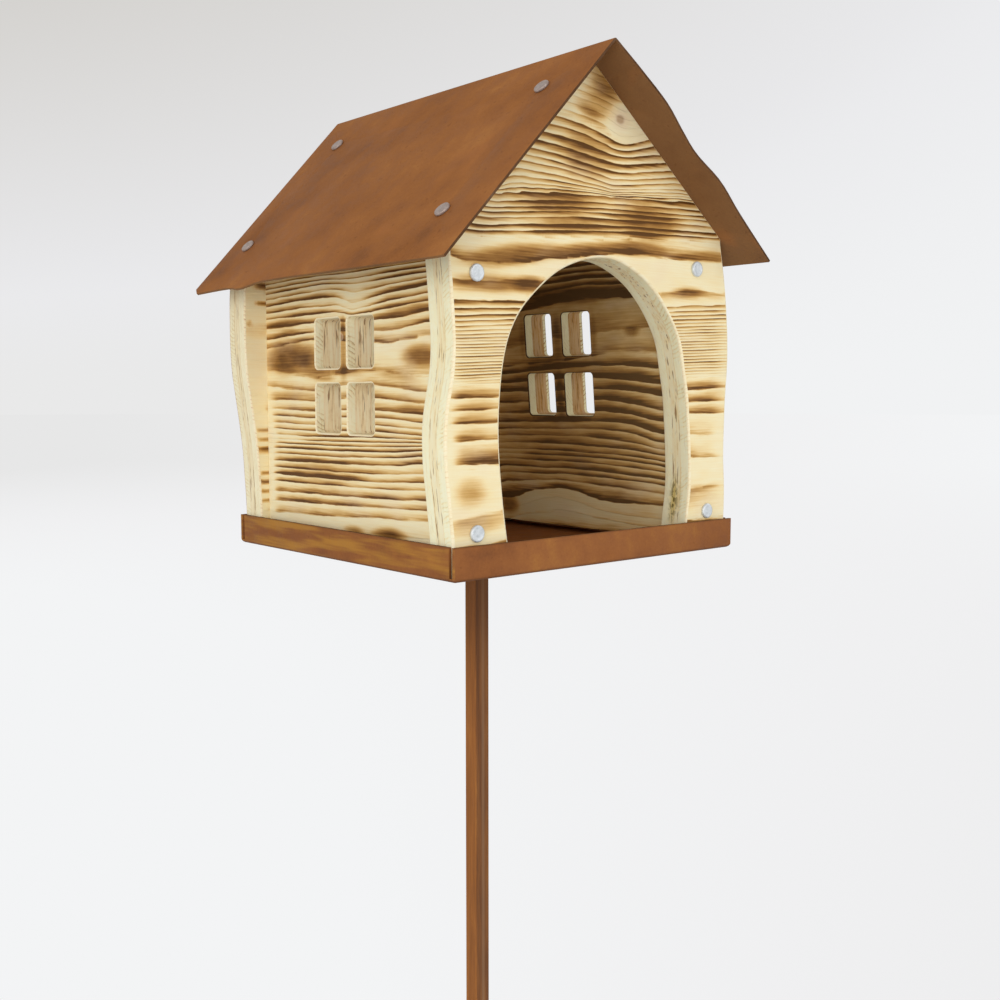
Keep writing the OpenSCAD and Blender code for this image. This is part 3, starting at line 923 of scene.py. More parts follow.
# The front board's outward face. The arch leaves out the middle of the lines below its crown.
FRONT_GRAIN = FaceGrain(
    rings=(
        (0, 0), (17, 1), (30, 2), (50.8, 3), (64, 4), (73.3, 5), (79.5, 6), (85.4, 7), (92.5, 8), (117, 24),
        (121, 26), (125.6, 28), (131.4, 30), (140.8, 31), (153, 32), (163, 33), (167, 34), (169.6, 35),
        (173.2, 36), (175.9, 37), (177.9, 38), (180.5, 39), (184.2, 40), (186, 42), (189, 44), (191.8, 45),
        (194.6, 46), (198.2, 47), (202.6, 48), (206.8, 49), (210.8, 50), (215, 51), (223, 53), (240, 57),
        (256, 61),
    ),
    lines={
        0: ((-100, 1), (100, 1)),
        1: ((-98, 16.5), (-70, 17), (70, 17), (98, 17.5)),
        2: ((-100, 28), (-84, 29.2), (-68, 31.2), (68, 33.5), (80, 35), (98, 35.5)),
        3: ((-100, 52.3), (-85, 51.6), (-70, 51.2), (68, 50), (95, 50)),
        4: ((-100, 64.2), (-72, 64.6), (68, 63.6), (92, 63.2)),
        5: ((-99, 71.6), (-71, 72.1), (67, 74.6), (94, 74.9)),
        6: ((-99, 77.4), (-71, 78.2), (66, 80.8), (94, 81.8)),
        7: ((-98, 83.2), (-71, 83.8), (65, 87.2), (94, 88.4)),
        8: ((-98, 90), (-70, 91.2), (64, 94.8), (94, 95.8)),
        24: ((-96, 112.6), (-66, 114), (57, 119.6), (94, 121.6)),
        26: ((-96, 116.2), (-64, 118.6), (55, 123.6), (94, 125.6)),
        28: ((-96, 121.4), (-62, 123.4), (53, 127), (94, 129.6)),
        30: ((-97, 127.4), (-75, 128), (-57, 129), (48, 131.4), (65, 133.2), (80, 134), (94, 134.8)),
        31: ((-97, 139), (-75, 140), (-48, 141), (42, 138.6), (60, 141.4), (72, 142.2), (92, 141.4)),
        32: ((-92, 143.4), (-70, 144.8), (-55, 146), (-40, 149.2), (10, 156), (60, 156.4), (92, 158)),
        33: ((-88, 157), (-50, 159.5), (-25, 161.7), (0, 163.3), (20, 165.4), (50, 166.6), (88, 168.5)),
        34: ((-84, 160.4), (-50, 163.3), (-25, 165.5), (0, 167.3), (20, 168.4), (50, 169.5), (86, 171)),
        35: ((-80, 163), (-50, 166), (-25, 168.3), (0, 169.8), (20, 171), (50, 171.8), (85, 173)),
        36: ((-76, 166.6), (-50, 169.5), (-25, 171.8), (0, 173.4), (20, 174.6), (45, 175.5), (80, 177)),
        37: ((-76, 169.6), (-50, 172), (-20, 174.8), (0, 176.2), (20, 177), (45, 178), (75, 179.6)),
        38: ((-75, 172), (-50, 174.5), (-25, 176.7), (0, 178.2), (20, 179.2), (45, 180.2), (70, 181.5)),
        39: ((-75, 174.2), (-50, 176.9), (-25, 179.2), (0, 181), (20, 182), (45, 182.8), (66, 184)),
        40: (
            (-70, 177.5), (-50, 180), (-30, 182), (-15, 183.4), (0, 184.6), (20, 185.6), (40, 186.3),
            (60, 187.5),
        ),
        42: ((-64, 184.5), (-35, 186), (-15, 185.9), (5, 186), (20, 187.4), (58, 190.4)),
        44: ((-60, 191.5), (-35, 191), (-10, 189.6), (5, 187.3), (20, 189.5), (55, 193.5)),
        45: ((-57, 195), (-35, 194.3), (-10, 192), (5, 190.3), (20, 192), (52, 196.5)),
        46: ((-54, 198), (-30, 197), (-10, 195), (5, 193.3), (20, 194.5), (48, 199)),
        47: ((-50, 201.3), (-30, 200.5), (-15, 199), (0, 197.5), (8, 196.8), (20, 197.8), (45, 202)),
        48: ((-46, 205.8), (-30, 204.6), (-15, 203.5), (0, 202), (10, 201.5), (20, 202.4), (45, 206)),
        49: (
            (-42, 210), (-30, 209.8), (-20, 208.8), (-10, 207.5), (0, 206), (10, 205), (20, 206),
            (40, 209.8),
        ),
        50: (
            (-37, 214.3), (-25, 214.3), (-15, 213), (-5, 210.5), (3, 209), (11, 208.6), (20, 210),
            (34, 213.5),
        ),
        51: (
            (-32, 219), (-20, 217.5), (-8, 215.8), (0, 214.3), (6, 211.8), (11, 210.8), (18, 211.8),
            (33, 215.8),
        ),
        53: ((-24, 226), (-12, 225), (-2, 224)),
        57: ((-12, 240), (4, 237)),
    },
    scorch=(
        (0, 0.3), (17, 0.4), (17.2, 0.62), (30, 0.62), (30.3, 0.05), (50.7, 0.05), (50.9, 0.62), (64, 0.66),
        (91, 0.95), (92.2, 0.1), (93, 0.1), (94, 0.7), (117, 0.7), (131.3, 0.9), (131.5, 0.5), (140.7, 0.5),
        (141, 0.05), (152.9, 0.05), (153.1, 0.6), (161, 0.6), (162.3, 0), (163.7, 0), (165, 1.05),
        (184, 1.3), (184.4, 0.65), (190, 0.7), (198, 0.95), (206, 1.1), (215, 1.1), (216, 0.15),
        (256, 0.15),
    ),
    upturn=(
        (0, 0), (30.2, 0), (42, 1), (92.3, 1), (93, 0), (141, 0), (150, 1), (162.9, 1), (163.1, 0),
        (256, 0),
    ),
    patches=(
        Smudge(-103, 70, 9, 62, -0.75), Smudge(99, 70, 13, 74, -0.55), Smudge(-15, 206, 20, 13, 0.5),
        Smudge(-24, 192, 16, 7, 0.35), Smudge(16, 221, 15, 10, -0.8), Smudge(-32, 181, 28, 5, 0.35, 0.08),
        Smudge(33, 174, 22, 9, 0.4, 0.04), Smudge(40, 185, 22, 3.5, 0.35, 0.04),
        Smudge(30, 164, 20, 5, 0.45, 0.05), Smudge(-45, 165, 30, 5, 0.25, 0.08),
        Smudge(80, 60, 18, 14, -0.4), Smudge(80, 72, 18, 8, -0.1), Smudge(40, 197, 22, 9, -0.25),
        Smudge(-84, 60, 12, 40, 0.15),
    ),
    stains=(
        Smudge(20, 159.5, 26, 4, 0.42, 0.03), Smudge(78, 160, 22, 3, 0.45, 0.05),
        Smudge(-62, 150.5, 34, 5.5, 0.5, 0.14), Smudge(-18, 156, 20, 4, 0.4, 0.15),
        Smudge(-74, 137, 26, 4.5, 0.5, 0.03), Smudge(-50, 137.5, 12, 4, 0.6, 0.05),
        Smudge(64, 139.8, 14, 3, 0.5, 0.04), Smudge(-88, 40, 10, 7, 0.3),
        Smudge(80, 34.6, 18, 1.4, 0.25, 0.05), Smudge(-6, 228, 13, 9, 0.3),
        Smudge(2, 237, 12, 6, 0.35, -0.3), Smudge(-84, 24, 20, 5, 0.2, 0.1), Smudge(-14, 203, 20, 13, 0.34),
        Smudge(32, 174, 26, 10, 0.5, 0.04), Smudge(-32, 177, 28, 6, 0.45, 0.08),
        Smudge(-22, 168, 28, 4, 0.32, 0.06), Smudge(0, 182, 60, 10, 0.06), Smudge(0, 168, 60, 6, 0.08),
        Smudge(-2, 240, 12, 9, 0.22), Smudge(-12, 224, 10, 3, 0.3, -0.2), Smudge(-83, 80, 12, 12, 0.1),
        Smudge(82, 85, 14, 8, 0.08),
    ),
    knots=(Knot(10, 223, 2.6, 12),),
)

# The left wall's outward face, in which a knot stands between the panes.
LEFT_GRAIN = FaceGrain(
    rings=(
        (4, -1), (13, 0), (22, 1), (27.5, 2), (32.3, 3), (37.5, 4), (40.8, 5), (44.8, 6), (49, 7), (53, 8),
        (56, 9), (58.7, 10), (60.8, 11), (63, 12), (66, 13), (69.2, 14), (73, 15), (76.5, 16), (82, 17),
        (88.5, 18), (95.5, 19), (112, 20), (117, 21), (122.5, 22), (127.8, 23), (131.5, 24), (135.5, 25),
        (139.3, 26), (142.3, 27), (144.8, 28), (147.4, 29), (200, 47),
    ),
    lines={
        1: ((-68, 24.5), (-40, 23.5), (-20, 22.2), (0, 20.9), (30, 19.7), (72, 18.7)),
        2: ((-68, 29.5), (-40, 28.8), (-20, 28), (0, 27.2), (30, 26.2), (72, 24.8)),
        3: ((-68, 34.3), (-40, 33.2), (-20, 32.6), (0, 32), (30, 31.5), (74, 31)),
        4: ((-68, 39.2), (-40, 38.3), (-20, 37.7), (0, 37.4), (30, 36.8), (74, 36)),
        5: ((-68, 42.5), (-40, 41.3), (-10, 40.6), (20, 40.3), (50, 39.9), (74, 40)),
        6: ((-68, 47.6), (-40, 45.8), (-20, 44.9), (0, 44.5), (30, 44.3), (74, 44)),
        7: ((-68, 52), (-50, 50.8), (-20, 49.4), (0, 48.7), (30, 48.4), (74, 48)),
        8: ((-68, 55.3), (-50, 54.2), (-20, 53.2), (0, 52.8), (30, 52.3), (74, 52.2)),
        9: ((-68, 58.3), (-50, 57.2), (-20, 56), (0, 55.7), (30, 55.3), (74, 55)),
        10: ((-68, 60.8), (-45, 59.2), (-20, 58.7), (0, 58.3), (30, 58), (74, 57.8)),
        11: ((-68, 62.3), (-40, 61.3), (0, 60.6), (40, 60.4), (74, 60.4)),
        12: ((-68, 63.6), (-45, 63.8), (-20, 63.2), (0, 62.8), (30, 62.7), (74, 63)),
        13: ((-68, 65.3), (-30, 66.6), (0, 66), (30, 65), (74, 65.8)),
        14: ((-68, 68.2), (-30, 69.8), (0, 69.4), (30, 68.5), (74, 69)),
        15: ((-68, 71.6), (-30, 73.6), (0, 73.4), (30, 72.7), (74, 73.3)),
        16: ((-68, 75.6), (-30, 77.3), (0, 76.8), (30, 75.8), (74, 76.5)),
        17: ((-68, 81), (-30, 83.5), (0, 82.5), (30, 81.3), (50, 82), (74, 81.7)),
        18: ((-72, 86), (-50, 87.6), (-30, 89.6), (0, 90), (30, 87), (50, 88), (76, 89)),
        19: ((-72, 92.4), (-55, 94), (-40, 96), (-28, 97.6), (0, 96), (28, 93), (50, 94.7), (77, 97.6)),
        20: ((-75, 114), (-55, 111.8), (-40, 109.5), (0, 112), (30, 114.5), (50, 114), (77, 111)),
        21: ((-75, 119), (-45, 117), (-30, 117.2), (0, 117.8), (30, 117), (50, 116.2), (77, 115)),
        22: ((-75, 124), (-55, 122.5), (-30, 121.8), (0, 122.5), (30, 122.8), (50, 122.2), (76, 121.8)),
        23: ((-72, 129.2), (-40, 127.5), (-22, 126.8), (-12, 126), (10, 127.6), (40, 127.8), (76, 126.8)),
        24: (
            (-72, 132.6), (-40, 130.8), (-22, 129), (-10, 127.4), (-3, 129.4), (5, 131.2), (40, 131.5),
            (76, 130.2),
        ),
        25: (
            (-72, 136.4), (-40, 134.5), (-16, 132), (-7, 131.4), (0, 134), (8, 135.6), (40, 135.5),
            (76, 134),
        ),
        26: ((-72, 139.7), (-40, 138.3), (-15, 136.8), (5, 138.8), (20, 139.8), (40, 139.3), (76, 138)),
        27: ((-72, 142.3), (-40, 141.6), (-10, 140.8), (20, 142.8), (40, 142.5), (76, 141)),
        28: ((-72, 145), (-40, 144.4), (-10, 143.8), (20, 145.2), (76, 143.5)),
        29: ((-72, 147.8), (-40, 147.2), (0, 146.5), (40, 147.4), (76, 146)),
    },
    scorch=(
        (4, 0.1), (21.9, 0.1), (22.1, 0.62), (40, 0.85), (55, 0.9), (63, 0.62), (70, 0.68), (95.4, 0.55),
        (95.6, 0.2), (111.9, 0.12), (112.1, 0.6), (125, 0.85), (150, 0.9), (200, 0.8),
    ),
    upturn=((0, 1), (200, 1)),
    patches=(
        Smudge(-62, 137, 30, 10, 0.5), Smudge(-10, 134, 24, 9, -0.7), Smudge(30, 41, 44, 16, 0.4),
        Smudge(50, 130, 44, 7, 0.1), Smudge(80, 45, 12, 48, -1.1), Smudge(-42, 62, 34, 4, -0.1),
        Smudge(76, 138, 14, 12, -0.3), Smudge(-20, 145, 26, 4, -0.3), Smudge(60, 61, 22, 4, -0.45),
        Smudge(20, 146, 40, 4, -0.2),
    ),
    stains=(
        Smudge(55, 105, 27, 9.5, 0.66, -0.03), Smudge(30, 103, 12, 10, 0.35),
        Smudge(-67, 104, 16, 5.5, 0.62), Smudge(-45, 95, 22, 2.6, 0.3, 0.1),
        Smudge(-58, 126, 24, 3, 0.3, -0.06), Smudge(0, 97.5, 30, 2.6, 0.45), Smudge(18, 93.6, 10, 1.6, 0.4),
        Smudge(0, 108, 4, 16, 0.35), Smudge(-40, 15, 15, 4, 0.6), Smudge(-8, 14.5, 10, 3, 0.4),
        Smudge(25, 44, 36, 8, 0.18), Smudge(60, 124, 22, 3, 0.3, -0.03),
        Smudge(62, 118, 18, 2, 0.25, -0.05), Smudge(-60, 79, 14, 3, 0.2), Smudge(50, 85, 30, 3, 0.2),
        Smudge(0, 120, 3, 5, 0.35),
    ),
    knots=(Knot(2.4, 115, 2.0, 3.2),),
)

# The right wall's inward face, which shows through the doorway.
RIGHT_INSIDE_GRAIN = FaceGrain(
    rings=(
        (0, 0), (10, 1), (17, 2), (24, 3), (30.5, 4), (35, 5), (38.5, 6), (43.5, 7), (47, 8), (50, 9),
        (54, 10), (58.5, 11), (63, 12), (67.5, 13), (73.5, 14), (80, 15), (86.5, 16), (93, 17), (100.5, 18),
        (106, 19), (120, 20), (140, 21), (147, 22), (151, 23), (155, 24), (158.5, 25), (200, 37),
    ),
    lines={
        1: ((-70, 9), (-30, 10), (10, 13), (40, 9), (60, 5)),
        2: ((-70, 14), (-40, 14.5), (-25, 16), (0, 20), (15, 21), (35, 18), (60, 9)),
        3: ((-70, 21), (-45, 20), (-25, 20.5), (-5, 26), (12, 27.5), (30, 24.5), (60, 17)),
        4: ((-70, 30), (-30, 31), (0, 31.5), (30, 31), (60, 30)),
        6: ((-70, 37), (-30, 39), (10, 40), (20, 38.5), (60, 38.5)),
        8: ((-70, 45.5), (-30, 47), (20, 47.5), (60, 47)),
        10: ((-70, 50.5), (-50, 53), (0, 54.5), (60, 54)),
        11: ((-72, 54), (-55, 57), (-40, 58.8), (0, 59.4), (60, 58.4)),
        12: ((-72, 58.5), (-55, 62.4), (-40, 63.8), (0, 64.3), (60, 62.8)),
        13: ((-72, 63.4), (-50, 67.6), (-20, 69), (0, 68.6), (60, 67)),
        14: ((-72, 70), (-50, 73.8), (-30, 75.4), (0, 74), (60, 72.6)),
        15: ((-72, 77), (-50, 80.4), (-30, 81.8), (40, 80), (70, 79)),
        16: ((-72, 84), (-50, 86.8), (-25, 88.3), (60, 86), (70, 86)),
        17: ((-72, 91), (-50, 93.7), (-25, 94.7), (60, 92.4), (70, 92.4)),
        18: ((-72, 99), (-45, 102), (-20, 102.3), (0, 100.8), (30, 99.3), (60, 97.5)),
        19: ((-72, 108), (-45, 108.6), (-20, 106.8), (0, 105.2), (30, 103.8), (60, 101.5)),
        21: ((-60, 139.5), (-20, 141.6), (10, 139.6), (40, 136)),
        22: ((-60, 147), (-20, 148.6), (20, 146.4), (50, 143)),
    },
    scorch=(
        (0, 0.5), (10, 0.45), (10.3, 0.12), (23.8, 0.16), (24.2, 0.8), (30, 0.6), (54, 0.65), (60, 0.85),
        (106, 0.9), (106.2, 0.25), (139.9, 0.25), (140.1, 1.0), (147, 1.0), (200, 0.7),
    ),
    upturn=((0, 1), (200, 1)),
    patches=(Smudge(-55, 80, 30, 26, 0.3), Smudge(55, 55, 30, 20, -0.4), Smudge(20, 14, 30, 8, -0.4)),
    stains=(
        Smudge(-10, 144, 70, 5, 0.4), Smudge(6, 103, 34, 2.4, 0.35), Smudge(5.5, 120, 4, 14, 0.18),
        Smudge(-25, 120, 3, 14, 0.14), Smudge(37, 120, 3, 14, 0.1), Smudge(10, 70.5, 30, 2, 0.35),
        Smudge(60, 14, 10, 7, 0.4), Smudge(-56, 121, 6, 3, 0.3), Smudge(6, 85, 4, 14, 0.35),
        # The first of these darkens the whole face: heavier scorch and painted shade for the dim inside. The
        # second makes the face lighter low down.
        Smudge(0, 90, 90, 120, 0.19), Smudge(10, 16, 60, 20, -0.14),
    ),
)


# Scorched bars on the strip of the rear board's inward face that stands out past the left wall. They sit next
# to the wall, where their darkness is partly painted shade in the corner.
REAR_STRIP_BARS = (
    Smudge(-95, 146, 6, 1.6, 0.9), Smudge(-95, 136, 5, 1.2, 0.8), Smudge(-95, 158, 7, 2.4, 0.5),
    Smudge(-95, 65, 7, 1.2, 0.5), Smudge(-95, 60, 6, 1.0, 0.6), Smudge(-95, 54, 8, 1.5, 0.9),
    Smudge(-95, 40.5, 6, 1.1, 0.6), Smudge(-95, 35.5, 7, 1.5, 0.9), Smudge(-95, 30, 6, 1.2, 0.6),
    Smudge(-95, 25, 6, 1.0, 0.5), Smudge(-104, 125, 2.2, 1.8, 0.35),
)


def wild_grain(seed: int, bottom: float, top: float) -> FaceGrain:
    """Draws the grain of a hidden face at random.

    Args:
        seed: What the face is drawn from.
        bottom: The lowest height on the face.
        top: The highest.

    Returns:
        The face's grain.
    """
    draw = np.random.default_rng(seed)
    margin, narrowest, widest = 20.0, 1.8, 9.5
    rings: list[Point] = []
    height, pitch = bottom - margin, 5.0
    while height < top + margin:
        rings.append((height, float(len(rings))))
        pitch = float(np.clip(pitch * draw.uniform(0.7, 1.45), narrowest, widest))
        height += pitch
    waves = [(draw.uniform(0.6, 2.2), draw.uniform(0.012, 0.035), draw.uniform(0, 6.28)) for _ in range(3)]
    slope = draw.uniform(-0.05, 0.05)
    eye = (draw.uniform(-50, 50), draw.uniform(bottom + 40, top - 60))

    def height_at(x: float, usual: float) -> float:
        """Finds where a ring's edge lies: it waves, slopes and bends round the knot.

        Args:
            x: The place along the face.
            usual: The ring's height where the grain lies level.

        Returns:
            Its height there.
        """
        wave = sum(size * math.sin(rate * x + start + usual * 0.02) for size, rate, start in waves)
        gap = usual - eye[1]
        push = 7.0 * math.exp(-((x - eye[0]) / 22) ** 2 - (gap / 26) ** 2) * (1 if gap > 0 else -1)
        return usual + slope * x + wave + push

    lines = {
        number: tuple((float(x), height_at(x, rings[number][0])) for x in np.linspace(-100, 100, 15))
        for number in range(1, len(rings) - 1, 3)
    }

    def smudges(count: int, length: Point, width: Point, dark: Point) -> tuple[Smudge, ...]:
        """Draws smudges anywhere on the face, with sizes and depths between two limits each."""
        limits = ((-90, 90), (bottom, top), length, width, dark)
        return tuple(Smudge(*(draw.uniform(*pair) for pair in limits), slope) for _ in range(count))

    patches = smudges(14, (16, 40), (5, 14), (-0.5, 0.5))
    stains = smudges(9, (12, 32), (2.5, 6), (0.15, 0.5))
    turn = draw.uniform(bottom + 40, top - 40)
    return FaceGrain(
        rings=tuple(rings),
        lines=lines,
        scorch=((bottom, 0.6), (bottom + 30, 0.35), (turn, 0.9), (top - 30, 0.65), (top, 0.8)),
        upturn=((turn - 1, 1.0), (turn + 1, 0.0)),
        patches=patches,
        stains=stains,
        knots=(Knot(eye[0], eye[1], draw.uniform(1.8, 3.2), draw.uniform(7, 11)),),
    )


# ---------- mesh making ----------


@dataclass
class MeshMaker:
    """Collects points, faces and what the points carry, and makes one mesh of them."""

    points: list[np.ndarray] = field(default_factory=list)
    faces: list[tuple[int, ...]] = field(default_factory=list)
    skins: list[int] = field(default_factory=list)
    carried: dict[str, list[tuple[int, np.ndarray]]] = field(default_factory=dict)
    count: int = 0

    def add(self, points: np.ndarray, **values: np.ndarray) -> int:
        """Adds points with the values that they carry.

        Args:
            points: The points, one a row, in metres.
            values: Arrays of one value or vector a point. What is left out is 0.

        Returns:
            The number of the first of the points.
        """
        first = self.count
        self.points.append(points)
        self.count += len(points)
        for name, value in values.items():
            self.carried.setdefault(name, []).append((first, value))
        return first

    def rows(self, starts: Sequence[int], length: int, skins: Sequence[int]) -> None:
        """Joins closed rows of points by strips of faces.

        Args:
            starts: The first point of each row, from the outer face to the inner one.
            length: The number of points in each row.
            skins: The skin of each strip.
        """
        for a, b, skin in zip(starts, starts[1:], skins):
            for k in range(length):
                n = (k + 1) % length
                self.faces.append((a + k, b + k, b + n, a + n))
                self.skins.append(skin)

    def mesh(self, name: str, smooth_angle: float = 40.0) -> bpy.types.Mesh:
        """Makes the mesh.

        Args:
            name: The mesh's name.
            smooth_angle: Edges sharper than this many degrees stay crisp.

        Returns:
            The mesh.
        """
        made = bpy.data.meshes.new(name)
        points = np.concatenate(self.points)
        made.from_pydata(points.tolist(), [], self.faces)
        for key, parts in self.carried.items():
            wide = parts[0][1].ndim == 2
            store = np.zeros((self.count, 3) if wide else self.count, np.float32)
            for first, value in parts:
                store[first:first + len(value)] = value
            layer = made.attributes.new(key, "FLOAT_VECTOR" if wide else "FLOAT", "POINT")
            layer.data.foreach_set("vector" if wide else "value", store.ravel())
        made.polygons.foreach_set("material_index", self.skins)
        made.polygons.foreach_set("use_smooth", [True] * len(self.faces))
        made.update()
        made.set_sharp_from_angle(angle=math.radians(smooth_angle))
        return made


@dataclass
class Loop:
    """A closed line in a board's plane, with the wood on its left.

    A corner's inset is measured along its two sides, and sharpest keeps it from running off at a sharp one.
    """

    points: np.ndarray
    sharpest: float = 0.35

    def even(self, step: float) -> Loop:
        """Divides the line's long stretches.

        Args:
            step: The longest that a stretch may be, in mm.

        Returns:
            The same line with more points.
        """
        found = []
        for a, b in zip(self.points, np.roll(self.points, -1, axis=0)):
            count = max(1, math.ceil(float(np.hypot(*(b - a))) / step))
            found += [a + (b - a) * k / count for k in range(count)]
        return Loop(np.array(found))

    def inset(self, reach: np.ndarray) -> Loop:
        """Moves the line into the wood.

        Args:
            reach: How far each point moves, in mm.

        Returns:
            The moved line.
        """
        before = self.points - np.roll(self.points, 1, axis=0)
        after = np.roll(self.points, -1, axis=0) - self.points
        left = [np.stack((-d[:, 1], d[:, 0]), 1) / np.hypot(*d.T)[:, None] for d in (before, after)]
        spread = np.maximum(1 + (left[0] * left[1]).sum(1), self.sharpest)
        return Loop(self.points + (left[0] + left[1]) * (reach / spread)[:, None])

    def span(self) -> np.ndarray:
        """Width and height of the line's box."""
        return np.ptp(self.points, axis=0)

    def holds(self, places: np.ndarray) -> np.ndarray:
        """Tests which places are inside the line.

        Args:
            places: The places, one a row.

        Returns:
            Whether each place is inside.
        """
        inside = np.zeros(len(places), bool)
        for (ax, ay), (bx, by) in zip(self.points, np.roll(self.points, -1, axis=0)):
            if ay == by:
                continue
            crosses = (ay > places[:, 1]) != (by > places[:, 1])
            at = ax + (places[:, 1] - ay) / (by - ay) * (bx - ax)
            inside ^= crosses & (places[:, 0] < at)
        return inside

    def gap(self, places: np.ndarray) -> np.ndarray:
        """Measures how far places are from the line's nearest point.

        Args:
            places: The places, one a row.

        Returns:
            The distance of each place.
        """
        best = np.full(len(places), np.inf)
        for p in self.points:
            best = np.minimum(best, ((places - p) ** 2).sum(1))
        return np.sqrt(best)


def tile(
    loops: Sequence[Loop], step: float, spots: Iterable[tuple[float, float, float]],
) -> tuple[np.ndarray, list[list[int]]]:
    """Fills a flat outline with small triangles.

    Args:
        loops: The outline and its holes.
        step: Distance between the points inside it.
        spots: Places [x, y, radius] that are filled three times as finely.

    Returns:
        The points, the loops' own points first and in order, and the triangles.
    """
    rim = np.concatenate([loop.points for loop in loops])
    low, high = rim.min(0), rim.max(0)
    grid = grid_points(low, high, step)
    for x, y, radius in spots:
        middle = np.array((x, y))
        grid = grid[((grid - middle) ** 2).sum(1) > radius * radius]
        fine = grid_points(middle - radius, middle + radius, step / 3)
        grid = np.concatenate((grid, fine[((fine - middle) ** 2).sum(1) <= radius * radius]))
    grid = grid[in_wood(loops, grid)]
    clear = step * 0.55
    grid = grid[np.min([loop.gap(grid) for loop in loops], axis=0) > clear]
    points = np.concatenate((rim, grid))
    edges: list[tuple[int, int]] = []
    for loop in loops:
        n, first = len(loop.points), len(edges)
        edges += [(first + k, first + (k + 1) % n) for k in range(n)]
    inside_only, same_point = 1, 1e-7
    made = delaunay_2d_cdt([Vector(p) for p in points], edges, [], inside_only, same_point)
    if len(made[0]) != len(points):
        raise ValueError("the outline's points ran together")
    order = [source[0] for source in made[3]]
    faces = np.array([[order[v] for v in face] for face in made[2]])
    return points, faces[in_wood(loops, points[faces].mean(1))].tolist()


def in_wood(loops: Sequence[Loop], places: np.ndarray) -> np.ndarray:
    """Tests which places are inside an outline and outside its holes.

    Args:
        loops: The outline and its holes.
        places: The places, one a row.

    Returns:
        Whether each place is in the wood.
    """
    keep = loops[0].holds(places)
    for hole in loops[1:]:
        keep &= ~hole.holds(places)
    return keep


def grid_points(low: np.ndarray, high: np.ndarray, step: float) -> np.ndarray:
    """Lays a staggered grid over a box.

    Args:
        low: The box's lowest corner.
        high: Its highest corner.
        step: Distance between the points.

    Returns:
        The grid's points, one a row.
    """
    row_gap = step * 0.87
    ys = np.arange(low[1] + step / 2, high[1], row_gap)
    rows = [np.arange(low[0] + (step / 2 if k % 2 else step), high[0], step) for k in range(len(ys))]
    return np.concatenate([np.stack((row, np.full(len(row), y)), 1) for row, y in zip(rows, ys)])


# ---------- boards ----------


